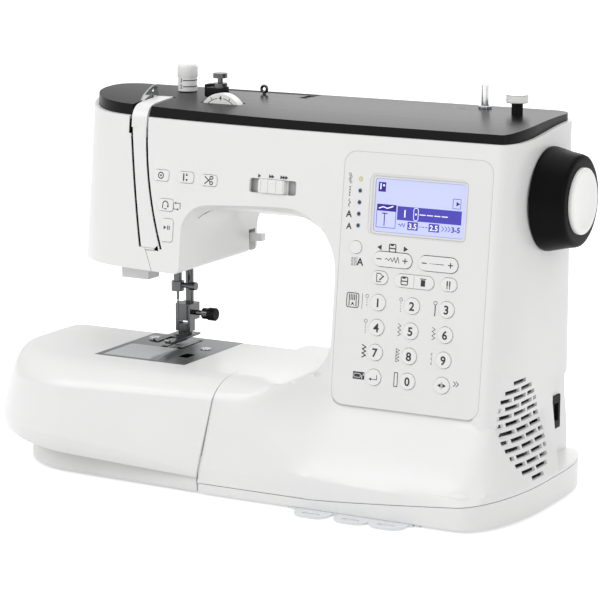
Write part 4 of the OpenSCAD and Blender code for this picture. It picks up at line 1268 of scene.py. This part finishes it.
    def _stitch_signs(self) -> None:
        """Small stitch pictures left of the number keys."""
        ink = Ink("stitch_print", INK_GREY)
        for index, digit in enumerate(self.signs[:9]):
            x, v = self._key_at(index)
            x -= 9.1
            if digit in ("1", "2", "4"):
                ink.ring((x, v + 3.9), (2.4, 2.4), 0.3, steps=12)
                for row in range(3 if digit == "1" else 4):
                    ink.line([(x, v + 1.8 - 1.9 * row), (x, v + 0.8 - 1.9 * row)], 0.35)
            elif digit == "3":
                ink.ring((x, v + 3.9), (2.6, 2.6), 0.4, steps=12)
                for row in range(4):
                    ink.line([(x, v + 2.0 - 1.9 * row), (x, v + 0.7 - 1.9 * row)], 0.8)
            elif digit == "8":
                for top in (v + 4.6 - 2.4 * row for row in range(4)):
                    ink.line([(x - 1.4, top), (x + 1.3, top - 1.2), (x - 1.4, top - 2.4),
                              (x - 1.4, top)], 0.35)
            elif digit == "9":
                for top in (v + 4.4 - 3.2 * row for row in range(3)):
                    ink.line([(x, top), (x - 1.0, top - 1.2), (x, top - 2.2)], 0.35)
            else:
                reach, width = (1.5, 0.75) if digit == "7" else (1.3, 0.4)
                ink.line([(x + (reach if row % 2 else -reach), v + 4.6 - 1.5 * row)
                          for row in range(7)], width)
        ink.done()

    def _lamps(self) -> None:
        """Indicator lamps beside the display, the top one lit."""
        x, v = self.lamp
        half = (side * MM for side in self.lamp_half)
        scale = Matrix.Diagonal((*half, 1.0))
        for index in range(5):
            shape = bmesh.new()
            spot = on_front(x, v - index * self.lamp_step, 0.15)
            matrix = Matrix.Translation(spot) @ Matrix.Rotation(-LEAN, 4, "X") @ scale
            bmesh.ops.create_uvsphere(shape, u_segments=20, v_segments=12, radius=1.0,
                                      matrix=matrix)
            add_piece(shape, f"lamp_{index + 1}", LAMP_OFF if index else LAMP_ON)

    def _display(self) -> None:
        """Art shown on the display, in three layers."""
        band, art, light = (
            Ink(name, finish, height=self.lcd_height + layer * self.lcd_layer)
            for layer, (name, finish) in enumerate((
                ("display_band", LCD_BAND), ("display_art", LCD_INK), ("display_light", LCD_PALE))))
        band.block((137.4, 214.0), (50.4, 9.8)).block((124.9, 205.5), (8.2, 5.8))
        band.block((141.6, 205.5), (8.2, 5.8)).done()
        art.block((99.1, 231.6), (5.9, 6.8)).block((103.6, 217.0), (15.4, 4.8))
        art.ring((103.5, 209.0), (15.2, 12.4), 0.35, 0.2)
        art.line([(100.2, 213.0), (104.2, 213.0)], 0.7)
        art.line([(102.2, 213.0), (102.2, 204.4)], 0.7)
        art.ring((158.4, 223.8), (6.0, 6.8), 0.35, 0.4).arrow((159.0, 223.8), 1.9, 0.0)
        art.line([(113.4, 205.6), (114.4, 206.4), (115.4, 204.6), (116.6, 207.0), (117.8, 204.2),
                  (119.0, 207.2)], 0.4)
        for start, end in ((129.8, 131.2), (132.0, 134.0), (134.8, 136.6)):
            art.line([(start, 205.4), (end, 205.4)], 0.4)
        for x in (147.6, 150.2, 152.6):
            art.line([(x, 207.4), (x + 1.8, 205.5), (x, 203.6)], 0.4)
        art.word("3-5", (158.6, 205.5), 3.9).done()
        light.block((98.0, 232.0), (1.0, 4.4)).disc((100.4, 232.8), 0.8)
        light.line([(97.6, 216.4), (101.0, 217.6), (104.0, 216.6), (108.6, 218.2)], 0.8)
        light.word("1", (118.3, 214.0), 5.2)
        light.ring((127.0, 214.0), (3.6, 9.0), 0.5).disc((127.0, 214.0), 0.7)
        for x in (132.2, 138.0, 143.8, 149.6):
            light.line([(x - 2.1, 214.0), (x + 2.1, 214.0)], 0.7)
        light.word("3.5", (124.9, 205.5), 3.9).word("2.5", (141.6, 205.5), 3.9).done()


def main() -> None:
    """Builds the whole scene in order."""
    logging.basicConfig(level=logging.INFO, format="%(message)s")
    scene = bpy.context.scene
    scene.view_settings.view_transform = "Standard"
    for part in (Studio(), FramePieces(), Handwheel(), TopFittings(), HeadDetails(), Panel()):
        part.build()
        LOG.info("built %s", type(part).__name__)


if __name__ == "__main__":
    main()
